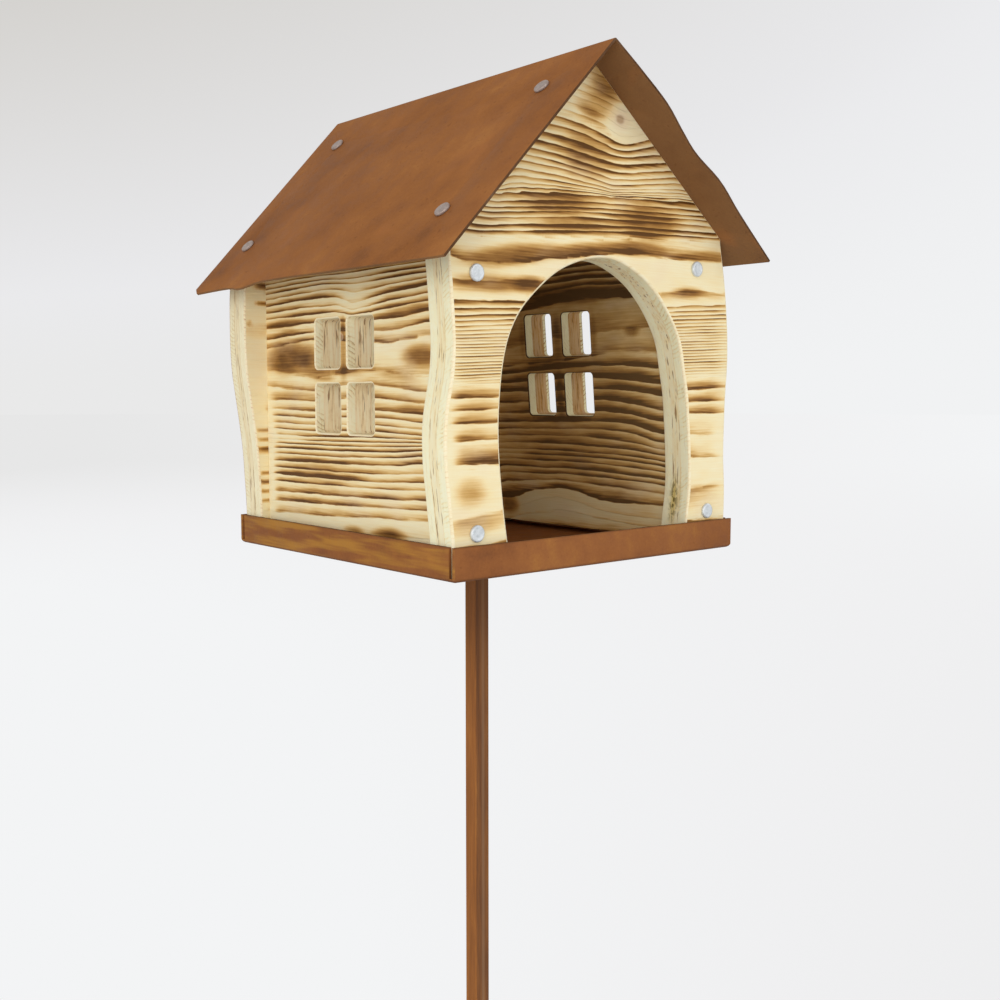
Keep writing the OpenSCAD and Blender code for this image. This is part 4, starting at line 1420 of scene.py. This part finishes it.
@dataclass
class Board:
    """One three-ply board or wall with rounded arrises, made inside its CAD solid.

    Corners of the CAD mesh closer than weld_reach are one, and its faces are one plane where they lie within
    same_level, both in metres, and their normals agree by more than same_way.
    """

    node: str
    outward: Vector
    face: FaceGrain
    back: FaceGrain
    seed: float
    rim: float = 1.2
    hole_rim: float = 1.2
    back_rim: float = 0.9
    step: float = 2.0
    smallest_opening: float = 8.0
    weld_reach: float = 5e-6
    same_level: float = 2e-5
    same_way: float = 0.999
    resin: tuple[Smudge, ...] = ()
    resin_from: float = 30.0
    soot: float = 1.0
    back_soot: float = 1.0
    # The share of painted shade on the inward face.
    back_painted_shade: float = 0.0
    turns: tuple[float, ...] = (0, 22.5, 45, 67.5, 90)
    thickness: float = field(init=False, default=18.0)

    def __post_init__(self) -> None:
        """Reads the board's plane and outlines from its CAD solid."""
        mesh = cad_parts[self.node].data
        low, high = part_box("tray")
        self.tray = Vector(((low.x + high.x) / 2, (low.y + high.y) / 2, low.z + MM))
        self.out, offset = self.plane(mesh, self.outward)
        self.up = (Vector((0, 0, 1)) - self.out * self.out.z).normalized()
        self.along = self.up.cross(self.out)
        self.base = self.out * offset
        self.thickness = (offset + self.plane(mesh, -self.out)[1]) / MM
        self.outline = self.loops(mesh, self.out, offset)
        inner = self.loops(mesh, -self.out, offset - self.thickness * MM)[0].points
        outer = self.outline[0].points
        self.skew = (
            (outer[:, 1].min(), inner[:, 1].min() - outer[:, 1].min()),
            (outer[:, 1].max(), inner[:, 1].max() - outer[:, 1].max()),
        )

    def plane(self, mesh: bpy.types.Mesh, outward: Vector) -> tuple[Vector, float]:
        """Finds the board's main face on one side.

        Args:
            mesh: The CAD node's mesh.
            outward: About where the face looks.

        Returns:
            The face's normal and its distance from the origin along it.
        """
        facing = [face for face in mesh.polygons if face.normal.dot(outward) > 0.95]
        areas: dict[tuple[float, ...], float] = {}
        for face in facing:
            key = (*(round(v, 3) for v in face.normal), round(face.center.dot(face.normal), 5))
            areas[key] = areas.get(key, 0.0) + face.area
        best = max(areas, key=areas.get)
        largest = max(facing, key=lambda face: face.area)
        return largest.normal.copy(), best[3]

    def loops(self, mesh: bpy.types.Mesh, normal: Vector, offset: float) -> list[Loop]:
        """Reads the outlines of a flat face and of the openings in it, leaving out screw holes.

        Args:
            mesh: The CAD node's mesh.
            normal: The face's normal.
            offset: The face's distance from the origin along the outward direction.

        Returns:
            The loops, the largest first, in mm in the board's own axes.
        """
        outward = normal.dot(self.out) > 0
        onward, spots = self.rim_steps(mesh, normal, offset if outward else -offset)
        found = []
        while onward:
            chain, here = [], next(iter(onward))
            while here in onward:
                chain.append(here)
                here = onward.pop(here)
            flat = np.array([(spots[k].dot(self.along), spots[k].dot(self.up)) for k in chain]) / MM
            found.append(Loop(flat if outward else flat[::-1]))
        found = [loop for loop in found if loop.span().min() > self.smallest_opening]
        return sorted(found, key=lambda loop: -loop.span().prod())

    def rim_steps(
        self, mesh: bpy.types.Mesh, normal: Vector, level: float,
    ) -> tuple[dict[Corner, Corner], dict[Corner, Vector]]:
        """Collects the edges round a flat face, which are those that no two of its triangles share.

        Args:
            mesh: The CAD node's mesh.
            normal: The face's normal.
            level: The face's distance from the origin along it.

        Returns:
            The corner that follows each corner of the rim, and where each corner is.
        """
        rim: dict[tuple[Corner, Corner], bool] = {}
        spots: dict[Corner, Vector] = {}
        for face in mesh.polygons:
            off = abs(face.center.dot(normal) - level)
            if face.normal.dot(normal) < self.same_way or off > self.same_level:
                continue
            keys = []
            for v in face.vertices:
                co = mesh.vertices[v].co
                keys.append(tuple(round(c / self.weld_reach) for c in co))
                spots[keys[-1]] = co
            for a, b in zip(keys, keys[1:] + keys[:1]):
                if not rim.pop((b, a), False):
                    rim[(a, b)] = True
        return dict(rim.keys()), spots

    def lean_of(self, heights: np.ndarray, depth: np.ndarray | float) -> np.ndarray:
        """How far the ends of the board are cut askew, at heights in its own axes and at a depth."""
        return np.interp(heights, *zip(*self.skew)) * depth / self.thickness

    def solid(self, flat: np.ndarray, depth: np.ndarray, outer: bool) -> np.ndarray:
        """Places points of the board's plane in the row frame.

        Args:
            flat: The points in the board's own axes, in mm.
            depth: How deep each lies under the outward face, in mm.
            outer: Whether they belong to the outline, whose ends may be cut askew.

        Returns:
            The points in metres.
        """
        a, b = flat[:, 0].copy(), flat[:, 1].copy()
        if outer:
            b += self.lean_of(b, depth)
        axes = np.array((self.along, self.up, -self.out))
        return (np.stack((a, b, depth), 1) @ axes) * MM + np.array(self.base)

    def board_place(self, solid: np.ndarray, depth: np.ndarray) -> np.ndarray:
        """Measures where points lie on the board.

        Args:
            solid: The points in metres.
            depth: How deep each lies under the outward face, in mm.

        Returns:
            For each point its place along the board, its height above the grain's zero, and its depth.
        """
        place = (solid - np.array(self.tray)) / MM
        axis = 0 if abs(self.out.y) > 0.5 else 1
        return np.stack((place[:, axis], place[:, 2], depth), 1)

    def build(self, finishes: Sequence[bpy.types.Material]) -> None:
        """Builds the board.

        Args:
            finishes: Its face, rim, edge and back materials.
        """
        maker = MeshMaker()
        loops = [loop.even(self.step * 1.1) for loop in self.outline]
        fronts, backs = [], []
        for index, loop in enumerate(loops):
            outer = index == 0
            crisp = self.under_roof(loop) if outer else 1.0
            rim = self.wobble(loop, self.rim if outer else self.hole_rim) * crisp
            back_rim = self.wobble(loop, self.back_rim) * crisp
            rows = self.profile(rim, back_rim)
            starts = []
            for inset, depth in rows:
                flat = loop.inset(inset).points
                solid = self.solid(flat, depth, outer)
                place = self.board_place(solid, depth)
                starts.append(maker.add(solid, board=place, knot=self.bled_resin(place)))
            curve = len(self.turns) - 1
            rims, edges = [Skin.RIM.value] * curve, [Skin.EDGE.value] * (len(rows) - 1 - 2 * curve)
            maker.rows(starts, len(loop.points), rims + edges + rims)
            fronts.append(loop.inset(rows[0][0]))
            backs.append(loop.inset(rows[-1][0]))
        self.cap(maker, fronts, 0.0, self.face, Skin.FACE)
        self.cap(maker, backs, self.thickness, self.back, Skin.BACK)
        mesh = maker.mesh(f"{self.node}_wood")
        for finish in finishes:
            mesh.materials.append(finish)
        show(f"{self.node}_wood", mesh, self.node)

    def bled_resin(self, place: np.ndarray) -> np.ndarray:
        """Works out how much resin has bled from the right side of an opening.

        Args:
            place: Places along the board, above the grain's zero, and under its face.

        Returns:
            From 0 to 1 at each place.
        """
        resin = sum((s.at(place[:, 1:]) for s in self.resin), np.zeros(len(place)))
        return np.clip(resin, 0, 1) * (place[:, 0] > self.resin_from)

    def wobble(self, loop: Loop, size: float) -> np.ndarray:
        """An arris's radius along a line, a little uneven as hand sanding leaves it."""
        lumps = [noise.noise(Vector((p[0] * 0.05, p[1] * 0.05, self.seed))) for p in loop.points]
        return size * (1 + 0.35 * np.array(lumps))

    def under_roof(self, loop: Loop) -> np.ndarray:
        """Finds where the roof shelters a line from the sanding.

        Args:
            loop: The line.

        Returns:
            How much of its arris each point keeps: little where the line looks up to the roof.
        """
        run = np.roll(loop.points, -1, axis=0) - np.roll(loop.points, 1, axis=0)
        upward = -run[:, 0] / np.hypot(*run.T)
        return 1.0 - 0.85 * fade(upward, 0.35, 0.6)

    def profile(self, rim: np.ndarray, back_rim: np.ndarray) -> list[tuple[np.ndarray, np.ndarray]]:
        """The board's edge in section.

        Args:
            rim: Radius of the outward arris at each point of the line.
            back_rim: Radius of the inward arris.

        Returns:
            The inset and depth of each row of points, from the outward face to the inward one.
        """
        turns = [math.radians(a) for a in self.turns]
        rows = [(rim * (1 - math.sin(t)), rim * (1 - math.cos(t))) for t in turns]
        zero = np.zeros(len(rim))
        far = self.thickness
        rows += [(zero, rim + (far - rim - back_rim) * share) for share in (0.2, 0.4, 0.6, 0.8)]
        rows += [(back_rim * (1 - math.sin(t)), far - back_rim * (1 - math.cos(t))) for t in reversed(turns)]
        return rows

    def cap(self, maker: MeshMaker, rims: list[Loop], depth: float, grain: FaceGrain, skin: Skin) -> None:
        """Closes one face of the board with small triangles that carry its grain.

        Args:
            maker: The mesh in the making.
            rims: The outline of the face and of each opening in it.
            depth: The face's depth.
            grain: Its grain.
            skin: Its skin.
        """
        across, up = rims[0].points.T
        loops = [Loop(np.stack((across, up + self.lean_of(up, depth)), 1)), *rims[1:]]
        shift = self.board_place(self.solid(np.zeros((1, 2)), np.zeros(1), False), np.zeros(1))[0]
        sign = 1.0 if self.along.dot(Vector((1, 1, 0))) > 0 else -1.0
        spots = [
            ((k.along - shift[0]) * sign, (k.height - shift[1]) / self.up.z, k.core * 3) for k in grain.knots
        ]
        points, faces = tile(loops, self.step, spots)
        deep = np.full(len(points), depth)
        solid = self.solid(points, deep, False)
        place = self.board_place(solid, deep)
        fields = grain.fields(place[:, :2])
        first = maker.add(solid, board=place, **fields)
        turn = -1 if skin is Skin.BACK else 1
        maker.faces += [tuple(first + v for v in face[::turn]) for face in faces]
        maker.skins += [skin.value] * len(faces)


# ---------- steel ----------


@dataclass
class Sheet:
    """A folded steel sheet: its CAD shape with the shorn edges eased and shown as cut steel."""

    node: str
    slot: Slot
    is_cut: Callable[[Vector, Vector], bool]
    ease: float = 0.25
    flat_turn: float = 0.4
    crisp_turn: float = 35.0

    def build(self, skin: bpy.types.Material, cut: bpy.types.Material, under: bpy.types.Material) -> None:
        """Builds the sheet.

        Args:
            skin: The finish of its faces.
            cut: The finish of its shorn edges.
            under: The finish of the faces that look down.
        """
        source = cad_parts[self.node]
        work = bmesh.new()
        work.from_mesh(source.data)
        bmesh.ops.remove_doubles(work, verts=work.verts, dist=1e-6)
        flat = math.radians(self.flat_turn)
        bmesh.ops.dissolve_limit(work, angle_limit=flat, verts=work.verts, edges=work.edges)
        mesh = bpy.data.meshes.new(f"{self.node}_sheet_rough")
        work.to_mesh(mesh)
        work.free()
        mesh.materials.clear()
        for finish in (skin, cut, under):
            mesh.materials.append(finish)
        for face in mesh.polygons:
            down = 2 if face.normal.z < -0.2 else 0
            face.material_index = 1 if self.is_cut(face.normal, face.center) else down
            face.use_smooth = True
        rough = bpy.data.objects.new(f"{self.node}_sheet_rough", mesh)
        bpy.context.scene.collection.objects.link(rough)
        ease = rough.modifiers.new("ease", "BEVEL")
        ease.width = self.ease * MM
        ease.segments = 2
        ease.limit_method = "ANGLE"
        ease.angle_limit = math.radians(self.crisp_turn)
        ease.harden_normals = False
        shape = bpy.data.meshes.new_from_object(rough.evaluated_get(bpy.context.evaluated_depsgraph_get()))
        bpy.data.objects.remove(rough)
        shape.name = f"{self.node}_sheet"
        shape.set_sharp_from_angle(angle=math.radians(30))
        show(f"{self.node}_sheet", shape, self.node)


@dataclass
class Roof:
    """The folded roof."""

    node: str = "roof"
    cut_lean: float = 0.75

    def build(self, skin: bpy.types.Material, cut: bpy.types.Material, under: bpy.types.Material) -> None:
        """Builds the roof.

        Args:
            skin: The rusted face.
            cut: The shorn edge.
            under: The sheltered underside.
        """
        slopes = [self.slope(side) for side in (-1, 1)]

        def is_cut(normal: Vector, _: Vector) -> bool:
            """Whether a face is a shorn edge."""
            off_slope = max(abs(normal.dot(slope)) for slope in slopes) < self.cut_lean
            return abs(normal.y) > 0.5 or (off_slope and abs(normal.z) < 0.85)

        Sheet(self.node, Slot.ROOF, is_cut).build(skin, cut, under)

    def slope(self, side: int) -> Vector:
        """Finds which way a slope looks.

        Args:
            side: -1 for the left slope and 1 for the right one.

        Returns:
            The normal of its largest face.
        """
        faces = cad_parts[self.node].data.polygons
        facing = (face for face in faces if face.normal.z > 0.3 and face.normal.x * side > 0.3)
        return max(facing, key=lambda face: face.area).normal.copy()


@dataclass
class Tray:
    """The folded tray."""

    node: str = "tray"
    floor: float = 6.0

    def build(self, skin: bpy.types.Material, cut: bpy.types.Material) -> None:
        """Builds the tray.

        Args:
            skin: The rusted face.
            cut: The shorn edge.
        """
        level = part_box(self.node)[0].z + self.floor * MM

        def is_cut(normal: Vector, middle: Vector) -> bool:
            """Whether a face is the shorn edge that looks up along a flap."""
            return normal.z > 0.5 and middle.z > level

        Sheet(self.node, Slot.TRAY, is_cut).build(skin, cut, skin)


@dataclass
class Weld:
    """The bead that joins the post to its plate, laid in overlapping drops."""

    node: str = "post_weld"
    ripple: float = 0.42
    ripple_pitch: float = 3.7
    sag: float = 0.2
    bite: float = 0.05
    rows: int = 7
    steps: int = 22

    def build(self, finish: bpy.types.Material) -> None:
        """Builds the bead.

        Args:
            finish: Its material.
        """
        low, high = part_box(self.node)
        post_low, post_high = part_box("post")
        half = (post_high.x - post_low.x) / 2 / MM
        leg = (high.x - low.x) / 2 / MM - half
        top = high.z / MM
        corners = [(1, -1), (1, 1), (-1, 1), (-1, -1)]
        path = []
        for (ax, ay), (bx, by) in zip(corners, corners[1:] + corners[:1]):
            shares = [k / self.steps for k in range(self.steps)]
            path += [(part_way(ax, bx, share), part_way(ay, by, share)) for share in shares]
        maker = MeshMaker()
        starts = []
        for row in range(self.rows + 2):
            turn = math.radians(90 * min(row, self.rows) / self.rows)
            ring = []
            for k, (x, y) in enumerate(path):
                beat = 0.5 + 0.5 * math.cos(k * 2 * math.pi / self.ripple_pitch + turn * 2)
                fall = (1 - self.ripple * beat * math.sin(turn * 2)) * (1 - self.sag * math.sin(2 * turn))
                reach = half - self.bite + leg * math.cos(turn) * fall
                drop = leg * math.sin(turn) * fall
                if row == self.rows + 1:
                    reach, drop = half - self.bite, 0.0
                ring.append((x * reach * MM, y * reach * MM, (top - drop) * MM))
            starts.append(maker.add(np.array(ring)))
        starts.append(starts[0])
        maker.rows(starts, len(path), [0] * (len(starts) - 1))
        mesh = maker.mesh("post_weld_bead", 60)
        mesh.materials.append(finish)
        show("post_weld_bead", mesh, self.node)


@dataclass
class Screws:
    """The flat-headed screws: a broad rounded head with a shallow dish, and a pointed shank."""

    sides: int = 40
    head_rise: float = 1.6
    tip: Line = ((0.05, 0.0), (1.0, 2.2), (1.6, 4.5), (1.75, 6.0))
    head: Line = (
        (1.75, 0.0), (3.8, 0.0), (4.05, 0.16), (4.1, 0.45), (4.1, 0.8), (4.0, 1.15), (3.78, 1.42),
        (3.46, 1.57), (3.15, 1.6), (2.87, 1.58), (2.6, 1.52), (2.28, 1.47), (1.64, 1.45), (0.82, 1.46),
    )
    dent: float = 0.07
    dent_from: float = 1.2
    dent_rim: Point = (3.8, 0.6)

    def build(self, bright: bpy.types.Material, weathered: bpy.types.Material) -> None:
        """Builds every screw.

        Args:
            bright: The material of the sheltered screws.
            weathered: The material of the roof screws.
        """
        for index, name in enumerate(sorted(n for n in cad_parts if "_screw_" in n)):
            self.one(name, index, weathered if name.startswith("roof") else bright)

    def one(self, node: str, index: int, finish: bpy.types.Material) -> None:
        """Builds one screw.

        Args:
            node: Its CAD node.
            index: Its number, which sets its small differences.
            finish: Its material.
        """
        centre, axis, length = self.measure(node)
        side = axis.orthogonal().normalized()
        other = axis.cross(side)
        maker = MeshMaker()
        starts = []
        for radius, height in (*((radius, rise - length) for radius, rise in self.tip), *self.head):
            ring = []
            for k in range(self.sides):
                a = 2 * math.pi * k / self.sides
                x, y = math.cos(a) * radius, math.sin(a) * radius
                lift = height + self.dented(radius, height, Vector((x * 0.9, y * 0.9, index * 3.7)))
                ring.append((centre + side * x + other * y + axis * lift) * MM)
            starts.append(maker.add(np.array(ring)))
        maker.rows(starts, self.sides, [0] * (len(starts) - 1))
        maker.faces = [face[::-1] for face in maker.faces]
        for start, flip in ((starts[0], False), (starts[-1], True)):
            disc = tuple(start + k for k in range(self.sides))
            maker.faces.append(disc if flip else disc[::-1])
            maker.skins.append(0)
        mesh = maker.mesh(f"{node}_zinc", 50)
        mesh.materials.append(finish)
        show(f"{node}_zinc", mesh, node)

    def measure(self, node: str) -> tuple[Vector, Vector, float]:
        """Finds how a screw lies from its CAD solid.

        Args:
            node: Its CAD node.

        Returns:
            The middle of its head's underside, the way that the head looks, and the length below the head.
        """
        co = np.array([v.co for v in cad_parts[node].data.vertices]) / MM
        middle = (co.min(0) + co.max(0)) / 2
        axis = np.linalg.svd(co - co.mean(0), full_matrices=False)[2][0]
        along = (co - middle) @ axis
        off = np.linalg.norm(co - middle - along[:, None] * axis, axis=1)
        if along[off.argmax()] < 0:
            axis, along = -axis, -along
        wide = off > off.max() * 0.7
        line = (co[wide] - ((co[wide] - middle) @ axis)[:, None] * axis).mean(0)
        under = along.max() - self.head_rise
        centre = line + axis * (middle @ axis + under) - axis * (line @ axis)
        return Vector(centre), Vector(axis), under - along.min()

    def dented(self, radius: float, height: float, at: Vector) -> float:
        """Works out the small dents of a head's top, which fade out towards its rim.

        Args:
            radius: Distance from the screw's axis.
            height: Height above the head's underside.
            at: Where the noise is read.

        Returns:
            The lift in mm.
        """
        rim, width = self.dent_rim
        deep = self.dent * noise.noise(at) if height > self.dent_from else 0.0
        return deep * min(1.0, (rim - radius) / width)


@dataclass
class Post:
    """The square bar and the plate welded on it, which keep their CAD shape."""

    nodes: tuple[str, ...] = ("post", "post_plate")

    def dress(self, finish: bpy.types.Material) -> None:
        """Gives the bar and the plate their finish.

        Args:
            finish: The rusted bar's material.
        """
        for name in self.nodes:
            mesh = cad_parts[name].data
            mesh.materials.clear()
            mesh.materials.append(finish)
            LOG.info("%s: rusted bar", name)


# ---------- studio ----------


@dataclass
class Studio:
    """Pale floor and background, soft lights and the camera."""

    camera_at: tuple[float, float, float] = (-0.429136, -0.519670, 1.090786)
    camera_pitch: float = 84.7644
    camera_yaw: float = -40.683
    lens: float = 42.573
    sky: float = 0.62
    key: float = 13.0
    fill: float = 26.0
    floor_radius: float = 60.0
    rightward: Point = (0.758, 0.652)

    def floor_paper(self) -> bpy.types.Material:
        """Makes the floor's material, which keeps shadow near the post and glows further out.

        Returns:
            The material.
        """
        g = Graph.material("studio_floor")
        x, y, _ = g.place().split()
        reach = g.math("SQRT", x * x + y * y)
        paper = g.noise(g.place(), scale=0.004, detail=2.0)
        paper = g.ramp(paper, ((0.3, (225, 225, 225)), (0.7, (229, 229, 229))))
        side = (x * self.rightward[0] - y * self.rightward[1]) * g.math("DIVIDE", 1.0, reach + 1.0)
        far = reach.smooth(2500.0, 20000.0)
        tint = side * far * 0.6 + (1.0 - far) * 0.2 - side * (1.0 - far) * 0.3 + 0.5
        shade = g.ramp(tint, ((0.3, (231, 231, 231)), (0.6, (240, 240, 241)), (0.75, (243, 244, 245))))
        glow = g.node("ShaderNodeEmission", Color=shade, Strength=1.0)
        shell = g.node("ShaderNodeBsdfDiffuse", Color=paper)
        g.finish(g.seen() * reach.smooth(350.0, 1100.0), shell, glow, "ShaderNodeOutputMaterial")
        return g.owner

    def floor(self) -> None:
        """Lays the floor."""
        work = bmesh.new()
        bmesh.ops.create_circle(work, cap_ends=True, segments=96, radius=self.floor_radius)
        mesh = bpy.data.meshes.new("studio_floor")
        work.to_mesh(mesh)
        work.free()
        mesh.materials.append(self.floor_paper())
        floor = bpy.data.objects.new("studio_floor", mesh)
        bpy.context.scene.collection.objects.link(floor)

    def world(self) -> None:
        """Sets the light from all round and the pale background."""
        world = bpy.data.worlds.new("studio")
        bpy.context.scene.world = world
        g = Graph(world)
        coords = g.node("ShaderNodeTexCoord")
        x, y, z = Field(g, coords.outputs["Generated"]).split()
        side = x * self.rightward[0] - y * self.rightward[1]
        corner = z * (2.24 - side * 3.64)
        low = g.ramp(side, ((0.0, (233, 233, 233)), (0.2, (241, 242, 243))))
        high = g.ramp(corner, ((0.26, (234, 234, 236)), (1.0, (213, 211, 208))))
        shade = g.blend(corner.smooth(0.0, 0.35), low, high)
        light = g.node("ShaderNodeBackground", Color=(1.0, 1.0, 1.0, 1.0), Strength=self.sky)
        back = g.node("ShaderNodeBackground", Color=shade, Strength=1.0)
        g.finish(g.seen(), light, back, "ShaderNodeOutputWorld")

    def lamp(self, name: str, at: tuple[float, float, float], aim: Vector, size: float, watts: float) -> None:
        """Hangs one soft lamp.

        Args:
            name: The lamp's name.
            at: Where it hangs.
            aim: What it faces.
            size: Its side.
            watts: Its power.
        """
        light = bpy.data.lights.new(name, "AREA")
        light.shape = "SQUARE"
        light.size = size
        light.energy = watts
        lamp = bpy.data.objects.new(name, light)
        lamp.location = at
        lamp.rotation_euler = (aim - Vector(at)).to_track_quat("-Z", "Y").to_euler()
        bpy.context.scene.collection.objects.link(lamp)

    def lamps(self) -> None:
        """Hangs the lamps."""
        low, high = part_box("front_board")
        aim = (low + high) / 2
        self.lamp("key_lamp", (0.55, -2.4, 1.9), aim, 2.0, self.key)
        self.lamp("fill_lamp", (-2.3, -1.5, 1.5), aim, 2.0, self.fill)

    def camera(self) -> None:
        """Sets up the camera."""
        lens = bpy.data.cameras.new("camera")
        lens.lens = self.lens
        lens.sensor_width = 36
        lens.clip_start = 0.02
        lens.clip_end = 200
        camera = bpy.data.objects.new("camera", lens)
        camera.location = self.camera_at
        camera.rotation_euler = Euler((math.radians(self.camera_pitch), 0, math.radians(self.camera_yaw)))
        bpy.context.scene.collection.objects.link(camera)
        bpy.context.scene.camera = camera

    def build(self) -> None:
        """Builds the studio."""
        bpy.context.scene.view_settings.view_transform = "Standard"
        self.floor()
        self.world()
        self.lamps()
        self.camera()


BAR = (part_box("post")[1].x / MM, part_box("post")[1].z / MM)
TRAY_LOW, TRAY_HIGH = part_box("tray")
ROOF_RUST = Rust("roof_rust", (
    (0.1, (124, 76, 38)), (0.4, (149, 94, 49)), (0.6, (160, 103, 55)), (0.9, (180, 122, 66)),
), patch=0.016, contrast=0.68)
UNDER_RUST = Rust("under_rust", (
    (0.1, (110, 76, 46)), (0.4, (128, 90, 56)), (0.6, (136, 98, 62)), (0.9, (152, 112, 72)),
), patch=0.016, contrast=0.5)
TRAY_RUST = Rust("tray_rust", (
    (0.1, (118, 72, 42)), (0.4, (142, 88, 49)), (0.6, (153, 97, 54)), (0.9, (172, 116, 60)),
), contrast=0.75, seed=57.0, ochre=0.6, ochre_end=TRAY_LOW.x / MM, hem=(TRAY_LOW.z / MM, TRAY_HIGH.z / MM))
BAR_RUST = Rust("bar_rust", (
    (0.1, (104, 64, 36)), (0.4, (134, 84, 46)), (0.6, (152, 97, 52)), (0.9, (174, 116, 60)),
), stretch=(6.0, 6.0, 0.35), patch=0.035, seed=21.0, bar=BAR)
# The right wall's arrises: dark both as soot and as painted shade inside the house.
SOOT_AND_SHADE_RIM = SandedRim("soot_and_painted_shade_rim", ((0.25, (112, 86, 52)), (0.5, (82, 60, 34)), (0.85, (54, 38, 20))))
# The right wall's sawn edges: the darker, browner tones are painted shade on the reveals seen inside the
# house.
PAINTED_SHADE_EDGE = PlyEdge("painted_shade_edge", (
    (0.2, (252, 246, 208)), (0.42, (244, 234, 190)), (0.62, (208, 178, 118)), (0.85, (124, 86, 40)),
), core=(184, 122, 44), seams=(2.5, 12.0), heart=0.66, hatched=0.4)
REAR_EDGE = PlyEdge("rear_edge", (
    (0.2, (254, 244, 210)), (0.42, (249, 235, 194)), (0.62, (236, 215, 166)), (0.85, (196, 164, 112)),
), core=(240, 214, 168))
LEFT_EDGE = PlyEdge("left_edge", (
    (0.2, (255, 248, 216)), (0.42, (252, 238, 198)), (0.62, (238, 216, 170)), (0.85, (184, 152, 100)),
), core=(250, 222, 184), seams=(5.0, 15.5), hatched=0.42)
OUTWARD_DARK_RIM = SandedRim("outward_dark_rim", (
    (0.25, (255, 247, 216)), (0.5, (252, 234, 194)), (0.66, (226, 194, 148)), (0.8, (182, 140, 98)),
    (0.95, (132, 92, 60)),
), outward_dark=0.34)
WORN_ZINC = Zinc("worn_zinc", ((0.2, (142, 124, 114)), (0.5, (172, 156, 148)), (0.8, (196, 184, 178))))


def boards() -> list[Board]:
    """The four boards and walls of the house.

    Returns:
        The boards, with the grain of both their faces.
    """
    inside = wild_grain(29, 0, 250)
    rear_inside = replace(
        inside,
        # A broad patch with less scorch pales the strip away from the left wall; the darkness left by the
        # wall is partly painted shade.
        patches=inside.patches + (Smudge(-108, 120, 18, 160, -1.6),),
        stains=inside.stains[:4] + REAR_STRIP_BARS,
    )
    return [
        Board(
            "front_board", Vector((0, -1, 0)), FRONT_GRAIN, wild_grain(11, 0, 250), seed=1.0,
            resin=(Smudge(27, 10.5, 13, 3.2, 1.0),), soot=1.08,
        ),
        Board("rear_board", Vector((0, 1, 0)), wild_grain(23, 0, 250), rear_inside, seed=2.0),
        Board(
            "left_wall", Vector((-1, 0, 0)), LEFT_GRAIN, wild_grain(41, 0, 200), seed=3.0,
            rim=0.5, hole_rim=0.8, back_rim=0.6, soot=1.16,
        ),
        Board(
            "right_wall", Vector((1, 0, 0)), wild_grain(53, 0, 200), RIGHT_INSIDE_GRAIN, seed=4.0,
            # The right wall's inward face gets painted shade for the dim inside of the house.
            rim=0.5, hole_rim=0.5, back_rim=0.5, back_soot=1.6, back_painted_shade=0.16,
        ),
    ]


def build_boards() -> None:
    """Builds the boards and walls, each with its own four finishes."""
    plain = (SandedRim().make(), PlyEdge().make())
    sawn = {
        "right_wall": (SOOT_AND_SHADE_RIM.make(), PAINTED_SHADE_EDGE.make()),
        "left_wall": (plain[0], LEFT_EDGE.make()),
        "rear_board": (OUTWARD_DARK_RIM.make(), REAR_EDGE.make()),
    }
    for index, board in enumerate(boards()):
        seed = index * 31.0
        face = ScorchedWood(f"{board.node}_face", seed + 3.0, board.soot).make()
        back = ScorchedWood(f"{board.node}_back", seed + 17.0, board.back_soot, board.back_painted_shade).make()
        board.build((face, *sawn.get(board.node, plain), back))


def main() -> None:
    """Builds the whole feeder and its studio."""
    logging.basicConfig(level=logging.INFO, format="%(name)s: %(message)s")
    build_boards()
    cut, bar = CutSteel().make(), BAR_RUST.make()
    Roof().build(ROOF_RUST.make(), cut, UNDER_RUST.make())
    Tray().build(TRAY_RUST.make(), cut)
    Post().dress(bar)
    Weld().build(bar)
    Screws().build(Zinc().make(), WORN_ZINC.make())
    Studio().build()


if __name__ == "__main__":
    main()
